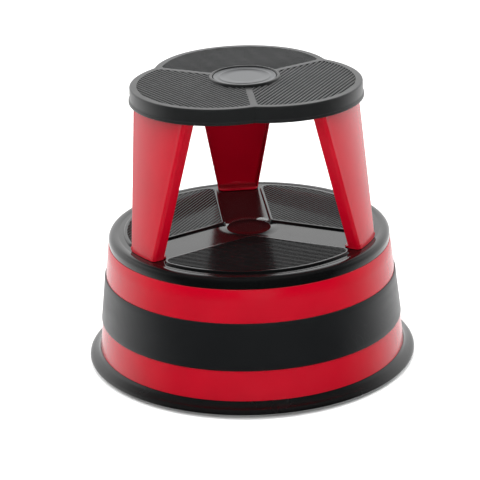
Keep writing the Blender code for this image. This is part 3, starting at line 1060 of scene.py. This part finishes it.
def joined(name: str, pieces: Sequence[bpy.types.Object]) -> bpy.types.Object:
    """Several objects made one.

    Args:
        name: Name of the result.
        pieces: Objects with one material.

    Returns:
        The joined object.
    """
    bm = bmesh.new()
    for piece in pieces:
        bm.from_mesh(piece.data)
    mesh = bpy.data.meshes.new(name)
    bm.to_mesh(mesh)
    bm.free()
    mesh.materials.append(pieces[0].data.materials[0])
    for piece in pieces:
        old = piece.data
        bpy.data.objects.remove(piece)
        bpy.data.meshes.remove(old)
    made = bpy.data.objects.new(name, mesh)
    bpy.context.scene.collection.objects.link(made)
    return made


# ---- sub-assemblies --------------------------------------------------------------------
@dataclass
class Drum:
    """The conical shell, its bumper band and the rubber ring round its foot."""

    finishes: Finishes
    segments: int = 256
    top_radius: float = 177.1
    top_height: float = 154.4
    bottom_height: float = 7.5
    slope: float = 0.1155
    sheet: float = 1.0
    flange_radius: float = 173.3
    band: tuple[float, float] = (54.9, 113.3)
    band_proud: float = 1.5
    ring_radius: float = 207.0
    ring_floor_gap: float = 4.0

    def radius(self, height: float) -> float:
        """Outer radius of the cone at a height.

        Args:
            height: Height above the floor.

        Returns:
            The radius.
        """
        return self.top_radius + self.slope * (self.top_height - height)

    def build(self) -> None:
        """Builds the three pieces."""
        self.build_shell()
        self.build_band()
        self.build_ring()

    def build_shell(self) -> None:
        """The spun sheet, with its flange turned in at the top."""
        top, low = self.top_height, self.bottom_height
        outer = [(self.radius(low + (top - 1.4 - low) * k / 10),
                  low + (top - 1.4 - low) * k / 10) for k in range(11)]
        bend = arc((self.top_radius - 1.2, top - 1.2), 1.2, 0.0, 90.0, 5)
        inner = [(self.flange_radius, top), (self.flange_radius, top - self.sheet),
                 (self.top_radius - self.sheet - 0.5, top - self.sheet),
                 (self.top_radius - self.sheet, top - self.sheet - 0.6)]
        inner += [(r - self.sheet, z) for r, z in reversed(outer)][1:]
        shape = Shape()
        shape.lathe(outer + bend + inner, self.segments)
        settle(shape.build("drum_shell", self.finishes.enamel), ["base_shell"])

    def build_band(self) -> None:
        """The vinyl band, slightly proud of the shell, its edges thinned."""
        low, high = self.band
        face = []
        for k in range(9):
            z = low + 1.0 + (high - low - 2.0) * k / 8
            face.append((self.radius(z) + self.band_proud, z))
        bottom = [(self.radius(low) + 0.15, low), (self.radius(low) + 0.8, low + 0.05),
                  (self.radius(low) + 1.3, low + 0.4)]
        top = [(self.radius(high) + 1.3, high - 0.4), (self.radius(high) + 0.8, high - 0.05),
               (self.radius(high) + 0.15, high)]
        shape = Shape()
        shape.lathe(bottom + face + top, self.segments)
        settle(shape.build("drum_band", self.finishes.band), ["bumper_band"])

    def build_ring(self) -> None:
        """The floor ring: a lip against the shell, a hollow slope and a rolled edge."""
        outer, gap = self.ring_radius, self.ring_floor_gap
        lip = self.radius(17.6) + 0.2
        crest = flowing([(lip, 17.6), (193.7, 17.4), (194.6, 16.3), (196.3, 14.4), (200.1, 12.2),
                         (203.9, 10.6),
                         (205.9, 9.1), (outer - 0.05, 7.2), (206.6, 5.6), (205.9, 5.0)], 4)
        foot = [(205.4, 5.0), (205.2, 4.7), (204.6, gap), (189.0, gap)]
        slot = [(189.0, 14.0), (192.0, 14.0), (192.0, 7.2), (self.radius(7.5) + 0.2, 7.2)]
        shape = Shape()
        shape.lathe(crest + foot + slot, self.segments)
        settle(shape.build("drum_floor_ring", self.finishes.ring, 50.0), ["floor_ring"])


@dataclass
class LowerStep:
    """The round lower step: a glossy skin with a rolled nosing and three ribbed pads."""

    finishes: Finishes
    growth: Growth
    segments: int = 256
    skin: float = 167.5
    radius: float = 176.4
    pad_radius: float = 157.0
    pad_top: float = 169.7
    pad_border: float = 4.4
    groove_floor: float = 168.0
    channel_half: float = 28.0
    pad_corner: float = 13.0
    pad_tip: float = 7.0
    rib_pitch: float = 4.5
    rib_width: float = 2.8
    hub_radius: float = 27.5
    wall_bottom: float = 154.7
    wall_inner: float = 173.3

    def build(self) -> None:
        """Builds the skin, the pads and their ribs."""
        self.build_skin()
        self.build_pads()
        self.build_ribs()

    def pad(self, inset: float) -> list[Flat]:
        """A pad's outline drawn in by a distance.

        Args:
            inset: How far it is drawn in.

        Returns:
            The outline about +X.
        """
        return sector(0.0, self.pad_radius - inset, self.channel_half + inset, self.pad_corner - inset,
                      tip=self.pad_tip - inset)

    def build_skin(self) -> None:
        """The skin, with the hub's fine ridge, a rise to the rim and the rolled nosing."""
        z, hub = self.skin, self.hub_radius
        ridge = [(hub - 0.7, z), (hub - 0.4, z + 0.2), (hub, z + 0.3), (hub + 0.4, z + 0.2), (hub + 0.7, z)]
        flat = [(0.0, z), (14.0, z)] + ridge + [(40.0, z), (100.0, z), (160.0, z), (162.7, z)]
        edge, low, inner = self.radius, self.wall_bottom, self.wall_inner
        rim = flowing([(163.5, z), (166.0, z + 0.45), (169.3, z + 0.62), (172.6, z - 0.05), (175.1, z - 2.1),
                       (edge - 0.1, z - 5.0), (edge, z - 7.0)], 4)
        under = [(edge, low + 1.0), (edge - 0.3, low), (inner, low), (inner, z - 3.0), (0.0, z - 3.0)]
        shape = Shape()
        shape.lathe(flat + rim + under, self.segments)
        settle(shape.build("lower_step_skin", self.finishes.gloss_tread), ["lower_step"])

    def build_pads(self) -> None:
        """The three pads: a rounded border round a sunk field."""
        top = self.pad_top
        path = [(-0.5, self.skin - 0.4), (-0.2, self.skin + 0.1), (0.0, self.skin + 0.7), (0.2, top - 0.7),
                (0.6, top - 0.25), (1.2, top - 0.04), (1.8, top), (3.0, top), (3.6, top - 0.05),
                (4.1, top - 0.25),
                (4.35, top - 0.6), (self.pad_border, self.groove_floor + 0.3),
                (self.pad_border + 0.1, self.groove_floor)]
        shape = Shape()
        for station in Station:
            shape.stack([[(x, y, z) for x, y in turned(self.pad(inset), station.azimuth + 180.0)] for inset,
                         z in path])
        settle(shape.build("lower_step_pads", self.finishes.gloss_tread, 40.0))

    def build_ribs(self) -> None:
        """The pads' ribs, each set square to its pad's axis."""
        outline = self.pad(self.pad_border - 0.15)
        first = min(x for x, _ in outline) + 2.2
        count = int((self.pad_radius - self.pad_border - first) / self.rib_pitch) + 1
        made = []
        for station in Station:
            ribs = RibbedField(outline, station.azimuth + 180.0, self.groove_floor, self.pad_top - 0.05,
                               self.rib_pitch,
                               self.rib_width, 1.0, first, count)
            made.append(ribs.build("pad_ribs_" + station.value, self.growth, self.finishes.gloss_tread))
        settle(joined("lower_step_ribs", made))


@dataclass
class TopStep:
    """The three-lobed top step: tray, ribbed fields, medallion ring and blank badge."""

    finishes: Finishes
    growth: Growth
    lobe_radius: float = 110.5
    lobe_centre: float = 36.7
    notch_fillet: float = 3.5
    top: float = 363.5
    bottom: float = 344.0
    lip: float = 347.3
    wall: float = 2.8
    border: float = 9.0
    spoke_half: float = 4.0
    groove_floor: float = 361.2
    rib_pitch: float = 4.96
    rib_width: float = 2.7
    medallion_radius: float = 43.7
    medallion_top: float = 366.5
    badge_radius: float = 39.0

    def build(self) -> None:
        """Builds the pieces."""
        self.build_tray()
        self.build_ribs()
        self.build_medallion()
        self.build_badge()

    def outline(self, offset: float) -> list[Flat]:
        """The three-lobed outline grown by an offset.

        Args:
            offset: How far it is grown.

        Returns:
            The outline, anticlockwise.
        """
        far = self.lobe_radius + self.notch_fillet
        side = self.lobe_centre * math.sin(math.radians(60.0))
        reach = self.lobe_centre * 0.5 + math.sqrt(far * far - side * side)
        centre = polar(reach, 60.0)
        lean = math.degrees(math.atan2(centre[1], centre[0] - self.lobe_centre))
        points: list[Flat] = []
        for azimuth in sorted(station.azimuth for station in Station):
            lobe = arc((self.lobe_centre, 0.0), self.lobe_radius + offset, -lean, lean, 64)
            notch = arc(centre, self.notch_fillet - offset, lean + 180.0, 300.0 - lean, 8)[1:-1]
            points += turned(lobe + notch, azimuth)
        return points

    def field(self, grown: float) -> list[Flat]:
        """A ribbed field's outline grown by a distance.

        Args:
            grown: How far it is grown.

        Returns:
            The outline about +X.
        """
        return sector(self.lobe_centre, self.lobe_radius - self.border + grown, self.spoke_half - grown,
                      7.0 + grown,
                      inner=self.medallion_radius - 1.2)

    def build_tray(self) -> None:
        """The tray: top face with three sunk fields, rounded edge, skirt and flared lip."""
        top, lip, low = self.top, self.lip, self.bottom
        shape = Shape()
        edge = [(-1.8 + 1.8 * math.sin(a),
                 top - 1.8 + 1.8 * math.cos(a)) for a in (math.pi / 2 * k / 5 for k in range(6))]
        path = [(-2.5, top)] + edge + [(0.0, lip + 3.0), (0.0, lip + 1.3), (0.2, lip + 0.6),
                                       (0.65, lip + 0.15),
                                       (1.1, lip), (1.4, lip - 0.2), (1.5, lip - 0.6), (1.5, low + 0.3),
                                       (1.2, low),
                                       (-2.6, low), (-self.wall, low + 0.2), (-self.wall, 358.5)]
        rows = [shape.ring((x, y, z) for x, y in self.outline(offset)) for offset, z in path]
        shape.wall(rows)
        shape.cap(rows[-1])
        sunk = [(0.7, top), (0.4, top), (0.2, top - 0.06), (0.05, top - 0.25), (0.0, top - 0.5),
                (0.0, self.groove_floor + 0.3),
                (-0.1, self.groove_floor)]
        holes = []
        for station in Station:
            hole = [shape.ring((x, y, z) for x, y in turned(self.field(grown), station.azimuth)) for grown,
                    z in sunk]
            shape.wall(hole)
            shape.cap(hole[-1])
            holes.append(hole[0])
        loops = [rows[0]] + holes
        flat = [shape.points[i][:2] for loop in loops for i in loop]
        index = [i for loop in loops for i in loop]
        edges, start = [], 0
        for loop in loops:
            edges += [(start + i, start + (i + 1) % len(loop)) for i in range(len(loop))]
            start += len(loop)
        _, _, faces, origin, _, _ = delaunay_2d_cdt([Vector(p) for p in flat], edges, [], 1, 1e-6)
        outlines = [[shape.points[i][:2] for i in loop] for loop in holes]
        for face in faces:
            corners = [flat[origin[i][0]] for i in face]
            middle = (sum(p[0] for p in corners) / len(corners), sum(p[1] for p in corners) / len(corners))
            if not any(inside(middle, outline) for outline in outlines):
                shape.faces.append(tuple(index[origin[i][0]] for i in face))
        settle(shape.build("top_step_tray", self.finishes.tread, 40.0), ["top_step"])

    def build_ribs(self) -> None:
        """The ribs of the three fields, each set square to its lobe's axis."""
        outline = self.field(0.15)
        first = self.medallion_radius * 0.5 + 1.4
        count = int((self.lobe_centre + self.lobe_radius - self.border - first) / self.rib_pitch) + 1
        made = []
        for station in Station:
            ribs = RibbedField(outline, station.azimuth, self.groove_floor, self.top - 0.05, self.rib_pitch,
                               self.rib_width, 0.8, first, count)
            made.append(ribs.build("field_ribs_" + station.value, self.growth, self.finishes.tread))
        settle(joined("top_step_ribs", made))

    def build_medallion(self) -> None:
        """The raised ring round the badge, with its recess."""
        rim, high = self.medallion_radius, self.medallion_top - 0.05
        crest = flowing([(rim + 0.3, self.top - 0.1), (rim, self.top + 0.6), (rim - 0.2, high - 1.1),
                         (rim - 0.9, high - 0.2),
                         (rim - 1.8, high), (rim - 2.9, high - 0.1), (rim - 3.8, high - 0.8),
                         (rim - 4.2, high - 1.8),
                         (rim - 4.3, 363.4)], 4)
        shape = Shape()
        shape.lathe([(0.0, 361.1), (rim + 0.3, 361.1)] + crest + [(0.0, 363.4)], 128)
        settle(shape.build("top_step_medallion", self.finishes.tread))

    def build_badge(self) -> None:
        """The blank plate in the medallion, with a fine raised line near its edge."""
        edge, face = self.badge_radius, 364.85
        path = [(0.0, face), (20.0, face), (29.6, face), (30.0, face + 0.2), (30.8, face + 0.3),
                (31.6, face + 0.2),
                (32.0, face), (36.2, face), (36.8, face + 0.25), (37.6, face + 0.35), (38.5, face + 0.25),
                (edge, face - 0.3),
                (edge, 363.7), (0.0, 363.7)]
        shape = Shape()
        shape.lathe(path, 128)
        settle(shape.build("blank_badge", self.finishes.badge), ["centre_badge"])


@dataclass
class Leg:
    """A pressed leg: a bowed face turned into two flanges, with a foot tab and a top shelf."""

    finishes: Finishes
    station: Station
    foot: float = 168.0
    head: float = 343.7
    sheet: float = 1.6
    foot_sheet: float = 2.4
    head_sheet: float = 2.0
    widths: tuple[float, float] = (52.0, 113.0)
    distances: tuple[float, float] = (160.5, 128.5)
    bulges: tuple[float, float] = (1.2, 5.5)
    flange: float = 15.0
    bend: float = 5.0

    def section(self, height: float, inset: float) -> list[Flat]:
        """The leg's line across at a height, from one flange's edge to the other's.

        Args:
            height: Height above the floor.
            inset: How far inside the outer face.

        Returns:
            (across, outward) points.
        """
        k = (height - self.foot) / (self.head - self.foot)
        width, dist, bulge = (a + (b - a) * k for a, b in (self.widths, self.distances, self.bulges))
        half, bend = width / 2 - inset, self.bend - inset
        left = [(-half, dist - self.flange)] + arc((-half + bend, dist - inset - bend), bend, 180.0, 90.0, 8)
        span = half - bend
        face = [(span * s, dist - inset + bulge * (1 - s * s)) for s in (i / 10 - 1 for i in range(1, 20))]
        return left + face + [(-x, y) for x, y in reversed(left)]

    def placed(self, points: Iterable[Flat], height: float) -> list[Point]:
        """Leg points at a height, about the stool's axis.

        Args:
            points: (across, outward) points.
            height: Their height.

        Returns:
            Points in the stool's frame.
        """
        return [(x, y, height) for x, y in turned([(v, -u) for u, v in points], self.station.azimuth)]

    def build(self) -> None:
        """Builds the leg as one piece."""
        shape = Shape()
        rows = []
        for k in range(15):
            z = self.foot + (self.head - self.foot) * k / 14
            outer, inner = self.section(z, 0.0), self.section(z, self.sheet)
            lip = [((outer[-1][0] + inner[-1][0]) / 2, outer[-1][1] - 0.5)]
            start = [((outer[0][0] + inner[0][0]) / 2, outer[0][1] - 0.5)]
            rows.append(shape.ring(self.placed(outer + lip + list(reversed(inner)) + start, z)))
        shape.wall(rows)
        for row in (rows[0], rows[-1]):
            count = len(self.section(self.foot, 0.0))
            for i in range(count - 1):
                shape.faces.append((row[i], row[i + 1], row[2 * count - i - 1], row[2 * count - i]))
            shape.faces.append((row[count - 1], row[count], row[count + 1]))
            shape.faces.append((row[0], row[2 * count], row[2 * count + 1]))
        self.add_tabs(shape)
        name = self.station.value
        settle(shape.build("enamel_leg_" + name, self.finishes.enamel, 40.0), ["leg_" + name])

    def add_tabs(self, shape: Shape) -> None:
        """Adds the foot tab, the top shelf and the sheet's bend where the face turns in.

        Args:
            shape: The leg's shape.
        """
        spin = self.station.azimuth
        half, dist = self.widths[0] / 2 - self.sheet + 0.3, self.distances[0]
        tab = [(half - 1.0, dist - 1.2), (half, dist - 3.0), (half, dist - 19.0), (half - 4.0, dist - 22.5),
               (-half + 4.0, dist - 22.5), (-half, dist - 19.0), (-half, dist - 3.0),
               (-half + 1.0, dist - 1.2)]
        outline = eased([(v, -u) for u, v in reversed(tab)], 2.5)
        shape.slab(outline, self.foot, self.foot + self.foot_sheet, 0.6, spin)
        bead = []
        for k in range(7):
            a = math.pi / 2 * k / 6
            bead.append((3.2 * (1 - math.sin(a)), self.foot + self.foot_sheet + 3.2 * (1 - math.cos(a))))
        rows = []
        for side in (-1.0, 1.0):
            wall = dist - self.sheet + 0.4
            rows.append([(side * (half - 0.4), wall + 0.6, self.foot + 1.0)]
                        + [(side * (half - 0.4), wall - d, z) for d,
                           z in bead] + [(side * (half - 0.4), wall + 0.6, bead[-1][1])])
        shape.stack([[(*turned([(v, -u)], spin)[0], z) for u, v, z in row] for row in rows])
        half, dist = self.widths[1] / 2 - self.sheet + 0.3, self.distances[1]
        shelf = [(half, dist - 3.0), (half - 6.0, dist - 25.0), (-half + 6.0, dist - 25.0),
                 (-half, dist - 3.0)]
        outline = eased([(v, -u) for u, v in reversed(shelf)], 2.5)
        shape.slab(outline, self.head - self.head_sheet, self.head, 0.5, spin)


@dataclass
class Fasteners:
    """The studs and nuts that hold the feet, and the rivets under the top step."""

    finishes: Finishes
    growth: Growth
    stud_side: float = 14.0
    stud_distance: float = 149.0
    rivet_side: float = 30.0
    rivet_distance: float = 114.5

    def build(self) -> None:
        """Builds one piece for each kind of fastener."""
        low, high = 155.5, 167.6
        threads = [(0.0, low), (2.3, low)]
        turns = int(high - low - 1.0)
        for k in range(turns):
            threads += [(2.95, low + 0.5 + k), (2.6, low + 1.0 + k)]
        self.scatter("foot_studs", "foot_stud", threads + [(2.95, high - 0.3), (2.8, high), (0.0, high)],
                     (0.0, 1), 16,
                     self.stud_side, self.stud_distance)
        self.scatter_nuts()
        pan, shelf = 345.7, 341.4
        rivet = [(0.0, pan + 2.5), (2.2, pan + 2.4), (4.0, pan + 1.8), (5.1, pan + 0.7), (5.1, pan),
                 (3.0, pan), (3.0, shelf),
                 (5.1, shelf), (5.1, shelf - 0.7), (4.0, shelf - 1.8), (2.2, shelf - 2.4),
                 (0.0, shelf - 2.5)]
        self.scatter("leg_rivets", "leg_rivet", rivet, (0.0, 3), 20, self.rivet_side, self.rivet_distance)

    def points(self, side: float, distance: float) -> list[Point]:
        """Two places in each leg.

        Args:
            side: Distance from the leg's middle line.
            distance: Distance from the stool's axis.

        Returns:
            Six points on the floor plane.
        """
        return [(*turned([(distance, -sign * side)], station.azimuth)[0],
                 0.0) for station in Station for sign in (1.0, -1.0)]

    def spread(self, name: str, node: str, part: bpy.types.Object, most: float, seed: int, side: float,
               distance: float) -> None:
        """Sets one fastener at each place and keeps them as one piece.

        Args:
            name: Name of the piece.
            node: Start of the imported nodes' names.
            part: The fastener on the axis.
            most: Largest turn in radians.
            seed: Seed of the turns.
            side: Distance from the leg's middle line.
            distance: Distance from the stool's axis.
        """
        mesh = bpy.data.meshes.new(name)
        mesh.from_pydata([tuple(c * MM for c in p) for p in self.points(side, distance)], [], [])
        base = bpy.data.objects.new(name, mesh)
        bpy.context.scene.collection.objects.link(base)
        self.growth.fasteners.grow(base, Part=part, Most_Turn=most, Seed=seed, Finish=self.finishes.zinc)
        bpy.data.objects.remove(part)
        settle(base, [f"{node}_{station.value}_{end}" for station in Station for end in "ab"])

    def scatter(self, name: str, node: str, profile: Sequence[Flat], spin: tuple[float, int], sides: int,
                side: float,
                distance: float) -> None:
        """Sets turned fasteners at their places.

        Args:
            name: Name of the piece.
            node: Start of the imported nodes' names.
            profile: The fastener's (radius, height) profile.
            spin: Largest turn in radians, and its seed.
            sides: Sides of the turned shape.
            side: Distance from the leg's middle line.
            distance: Distance from the stool's axis.
        """
        shape = Shape()
        shape.lathe(profile, sides)
        self.spread(name, node, shape.build(name + "_part", self.finishes.zinc), *spin, side, distance)

    def scatter_nuts(self) -> None:
        """Sets hexagon nuts on the studs, each turned by its own amount."""
        top, low = 162.7, 157.7
        flat = 5.0
        hexagon = [polar(flat if i % 2 else flat / math.cos(math.radians(30.0)),
                         30.0 * i) for i in range(12)]
        levels = [(hexagon, top - 0.7), (arc((0, 0), 5.0, 0, 330, 11), top),
                  (arc((0, 0), 3.0, 0, 330, 11), top),
                  (arc((0, 0), 3.0, 0, 330, 11), low), (arc((0, 0), 5.0, 0, 330, 11), low),
                  (hexagon, low + 0.7)]
        shape = Shape()
        shape.wall([shape.ring((x, y, z) for x, y in level) for level, z in levels], loop=True)
        self.spread("foot_nuts", "foot_nut", shape.build("foot_nuts_part", self.finishes.zinc, 25.0),
                    math.pi / 3, 2,
                    self.stud_side, self.stud_distance)


@dataclass
class Caster:
    """One sprung caster: its spring and wheel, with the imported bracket, stem and fork dressed."""

    finishes: Finishes
    growth: Growth
    station: Station
    circle: float = 160.0
    wheel_radius: float = 16.0
    trail: float = 10.0
    spring_span: tuple[float, float] = (51.1, 88.85)
    coil_radius: float = 6.4
    wire_radius: float = 0.75

    @property
    def axis(self) -> Flat:
        """Where the caster's upright axis meets the floor."""
        return polar(self.circle, self.station.azimuth)

    def build(self) -> None:
        """Builds the spring and the wheel, and dresses the rest."""
        name = "caster_" + self.station.value + "_"
        self.build_spring(name)
        self.build_wheel(name)
        for part, material in (("bracket", self.finishes.sheet), ("stem", self.finishes.zinc),
                               ("clip", self.finishes.zinc),
                               ("washer", self.finishes.zinc), ("fork", self.finishes.zinc),
                               ("axle", self.finishes.zinc)):
            dress(name + part, material)

    def build_spring(self, name: str) -> None:
        """The spring in two halves that meet at rest: the lower one moves with the plunger.

        Pressed home, the lower half's last turn lies in the gap between two turns of the upper.

        Args:
            name: Start of the caster's names.
        """
        low, high = self.spring_span
        half = (high - low) / 2
        x, y = self.axis
        for part, seat, nodes, body in (("coil_lower", low, [], "caster_" + self.station.value + "_plunger"),
                                        ("coil_upper", low + half, [name + "spring"], BODY)):
            base = bpy.data.objects.new(name + part, bpy.data.meshes.new(name + part))
            bpy.context.scene.collection.objects.link(base)
            self.growth.springs.grow(base, 60.0, Turns=3.0, Coil_Radius=self.coil_radius * MM,
                                     Wire_Radius=self.wire_radius * MM, Length=half * MM,
                                     Seat=(x * MM, y * MM, seat * MM), Finish=self.finishes.zinc)
            settle(base, nodes, body)

    def build_wheel(self, name: str) -> None:
        """The wheel: a soft tyre with a moulded hub, dished on both sides.

        Args:
            name: Start of the caster's names.
        """
        r = self.wheel_radius
        half = [(3.3, 8.9), (5.4, 8.9), (6.2, 8.5), (6.6, 7.4), (8.4, 6.7), (11.8, 6.7), (12.6, 7.5),
                (14.2, 7.6),
                (15.2, 7.1), (15.8, 6.2), (r, 5.0), (r, 2.2), (r - 0.25, 1.6), (r - 0.25, 0.0)]
        path = half + [(radius, -height) for radius, height in reversed(half[:-1])]
        spin = math.radians(self.station.azimuth + 90.0)
        place = (Matrix.Translation((*self.axis, 0.0)) @ Matrix.Rotation(spin, 4, "Z")
                 @ Matrix.Translation((-self.trail, 0.0, r)) @ Matrix.Rotation(math.radians(-90.0), 4, "X"))
        shape = Shape()
        shape.lathe(path, 48, place)
        settle(shape.build(name + "tyre", self.finishes.tyre), [name + "wheel"],
               "caster_" + self.station.value + "_roller")


def dress(node: str, material: bpy.types.Material) -> None:
    """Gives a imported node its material.

    Args:
        node: The node's name.
        material: The material.
    """
    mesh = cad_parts[node].data
    mesh.materials.clear()
    mesh.materials.append(material)
    LOG.info("%s: dressed with %s", node, material.name)


@dataclass
class Studio:
    """A pale floor, a surround that is dim in front and overhead, soft lamps, and the camera."""

    target: Point = (0.0, 0.0, 0.1745)
    distance: float = 2.6575
    elevation: float = 20.37
    azimuth: float = -5.0
    roll: float = -1.65
    lens: float = 158.9
    shift: Flat = (-0.0183, -0.0377)
    floor_radius: float = 9.0
    brightest: float = 2.5
    overhead_glow: float = 0.14

    def build(self) -> None:
        """Builds the studio."""
        bpy.context.scene.view_settings.view_transform = "Standard"
        self.build_floor()
        self.build_surround()
        self.add_lamps()
        self.aim_camera()

    def build_floor(self) -> None:
        """A round pale floor that mirrors in nothing."""
        graph = FinishGraph("studio_floor")
        soft = graph.noise(graph.place, 3.0, 2.0)
        tone = graph.blend(soft, (0.80, 0.80, 0.80, 1.0), (0.83, 0.83, 0.83, 1.0))
        graph.set(Base_Color=tone, Roughness=0.9, Specular_IOR_Level=0.0)
        shape = Shape()
        shape.cap(shape.ring((x, y, 0.0) for x,
                             y in arc((0.0, 0.0), self.floor_radius / MM, 0.0, 357.0, 119)))
        floor = shape.build("studio_floor", graph.material)
        floor.visible_glossy = False

    def build_surround(self) -> None:
        """A world whose light depends on direction: bright behind, dim in front and overhead."""
        world = bpy.data.worlds.new("studio_surround")
        bpy.context.scene.world = world
        world.use_nodes = True
        graph = Graph(world.node_tree)
        way = graph.add("ShaderNodeSeparateXYZ",
                        {0: graph.add("ShaderNodeTexCoord").outputs["Generated"]}).outputs
        x, y, z = way["X"], way["Y"], way["Z"]
        level = graph.maths("SQRT", graph.maths("ADD", graph.maths("MULTIPLY", x, x),
                                                graph.maths("MULTIPLY", y, y)))
        back = graph.maths("DIVIDE", y, graph.maths("MAXIMUM", level, 0.001))
        ramp = graph.add("ShaderNodeValToRGB", {0: graph.remap(back, -1.0, 1.0, 0.0, 1.0)})
        stops = [(0.0, 0.02), (0.28, 0.03), (0.4, 0.25), (0.5, 0.5), (0.6, 0.95), (0.72, 1.3), (0.85, 1.55),
                 (1.0, 1.45)]
        self.set_stops(ramp.color_ramp, [(at, value / self.brightest) for at, value in stops])
        side = graph.maths("MULTIPLY", ramp.outputs[0], self.brightest)
        above = graph.remap(z, 0.50, 0.75, 0.0, 1.0)
        glow = graph.add("ShaderNodeMix", data_type="FLOAT")
        graph.feed(glow.inputs[0], above)
        graph.feed(glow.inputs[2], side)
        graph.feed(glow.inputs[3], self.overhead_glow)
        background = world.node_tree.nodes["Background"]
        graph.feed(background.inputs["Color"], (1.0, 1.0, 1.0, 1.0))
        graph.feed(background.inputs["Strength"], glow.outputs[0])

    @staticmethod
    def set_stops(ramp: bpy.types.ColorRamp, stops: Sequence[Flat]) -> None:
        """Sets a ramp's grey stops.

        Args:
            ramp: The ramp.
            stops: (position, grey) pairs.
        """
        while len(ramp.elements) > 1:
            ramp.elements.remove(ramp.elements[-1])
        ramp.elements[0].position = stops[0][0]
        ramp.elements[0].color = (*(stops[0][1],) * 3, 1.0)
        for at, value in stops[1:]:
            ramp.elements.new(at).color = (*(value,) * 3, 1.0)

    def add_lamps(self) -> None:
        """Large soft lamps that no surface mirrors: two in front, one at each side, one above."""
        for name, place, size, power in (("lamp_front", (-0.5, -3.0, 2.8), 2.4, 110.0),
                                         ("lamp_low", (0.2, -3.6, 0.9), 1.6, 60.0),
                                         ("lamp_left", (-2.6, 0.6, 2.2), 2.0, 75.0),
                                         ("lamp_right", (2.6, 0.6, 2.2), 2.0, 75.0),
                                         ("lamp_above", (0.0, 0.3, 3.6), 3.0, 120.0)):
            data = bpy.data.lights.new(name, "AREA")
            data.shape, data.size, data.energy = "SQUARE", size, power
            lamp = bpy.data.objects.new(name, data)
            lamp.location = place
            lamp.rotation_euler = (Vector((0.0, 0.0, 0.15))
                                   - Vector(place)).to_track_quat("-Z", "Y").to_euler()
            lamp.visible_camera = False
            lamp.visible_glossy = False
            bpy.context.scene.collection.objects.link(lamp)

    def aim_camera(self) -> None:
        """The camera, turned slightly about its own line of sight."""
        a, e = math.radians(self.azimuth), math.radians(self.elevation)
        back = Vector((math.sin(a) * math.cos(e), -math.cos(a) * math.cos(e), math.sin(e)))
        data = bpy.data.cameras.new("studio_camera")
        data.lens, data.sensor_width = self.lens, 36.0
        data.shift_x, data.shift_y = self.shift
        data.clip_end = 100.0
        camera = bpy.data.objects.new("studio_camera", data)
        camera.location = Vector(self.target) + back * self.distance
        facing = (-back).to_track_quat("-Z",
                                       "Y").to_matrix() @ Matrix.Rotation(math.radians(self.roll), 3, "Z")
        camera.rotation_euler = facing.to_euler()
        bpy.context.scene.collection.objects.link(camera)
        bpy.context.scene.camera = camera


def main() -> None:
    """Builds every sub-assembly in order."""
    logging.basicConfig(level=logging.INFO, format="%(message)s")
    Studio().build()
    finishes, growth = Finishes(Effects()), Growth()
    Drum(finishes).build()
    LowerStep(finishes, growth).build()
    for station in Station:
        Leg(finishes, station).build()
    TopStep(finishes, growth).build()
    Fasteners(finishes, growth).build()
    for station in Station:
        Caster(finishes, growth, station).build()
    dress("deck_plate", finishes.sheet)
    dress("top_pan", finishes.sheet)


if __name__ == "__main__":
    main()
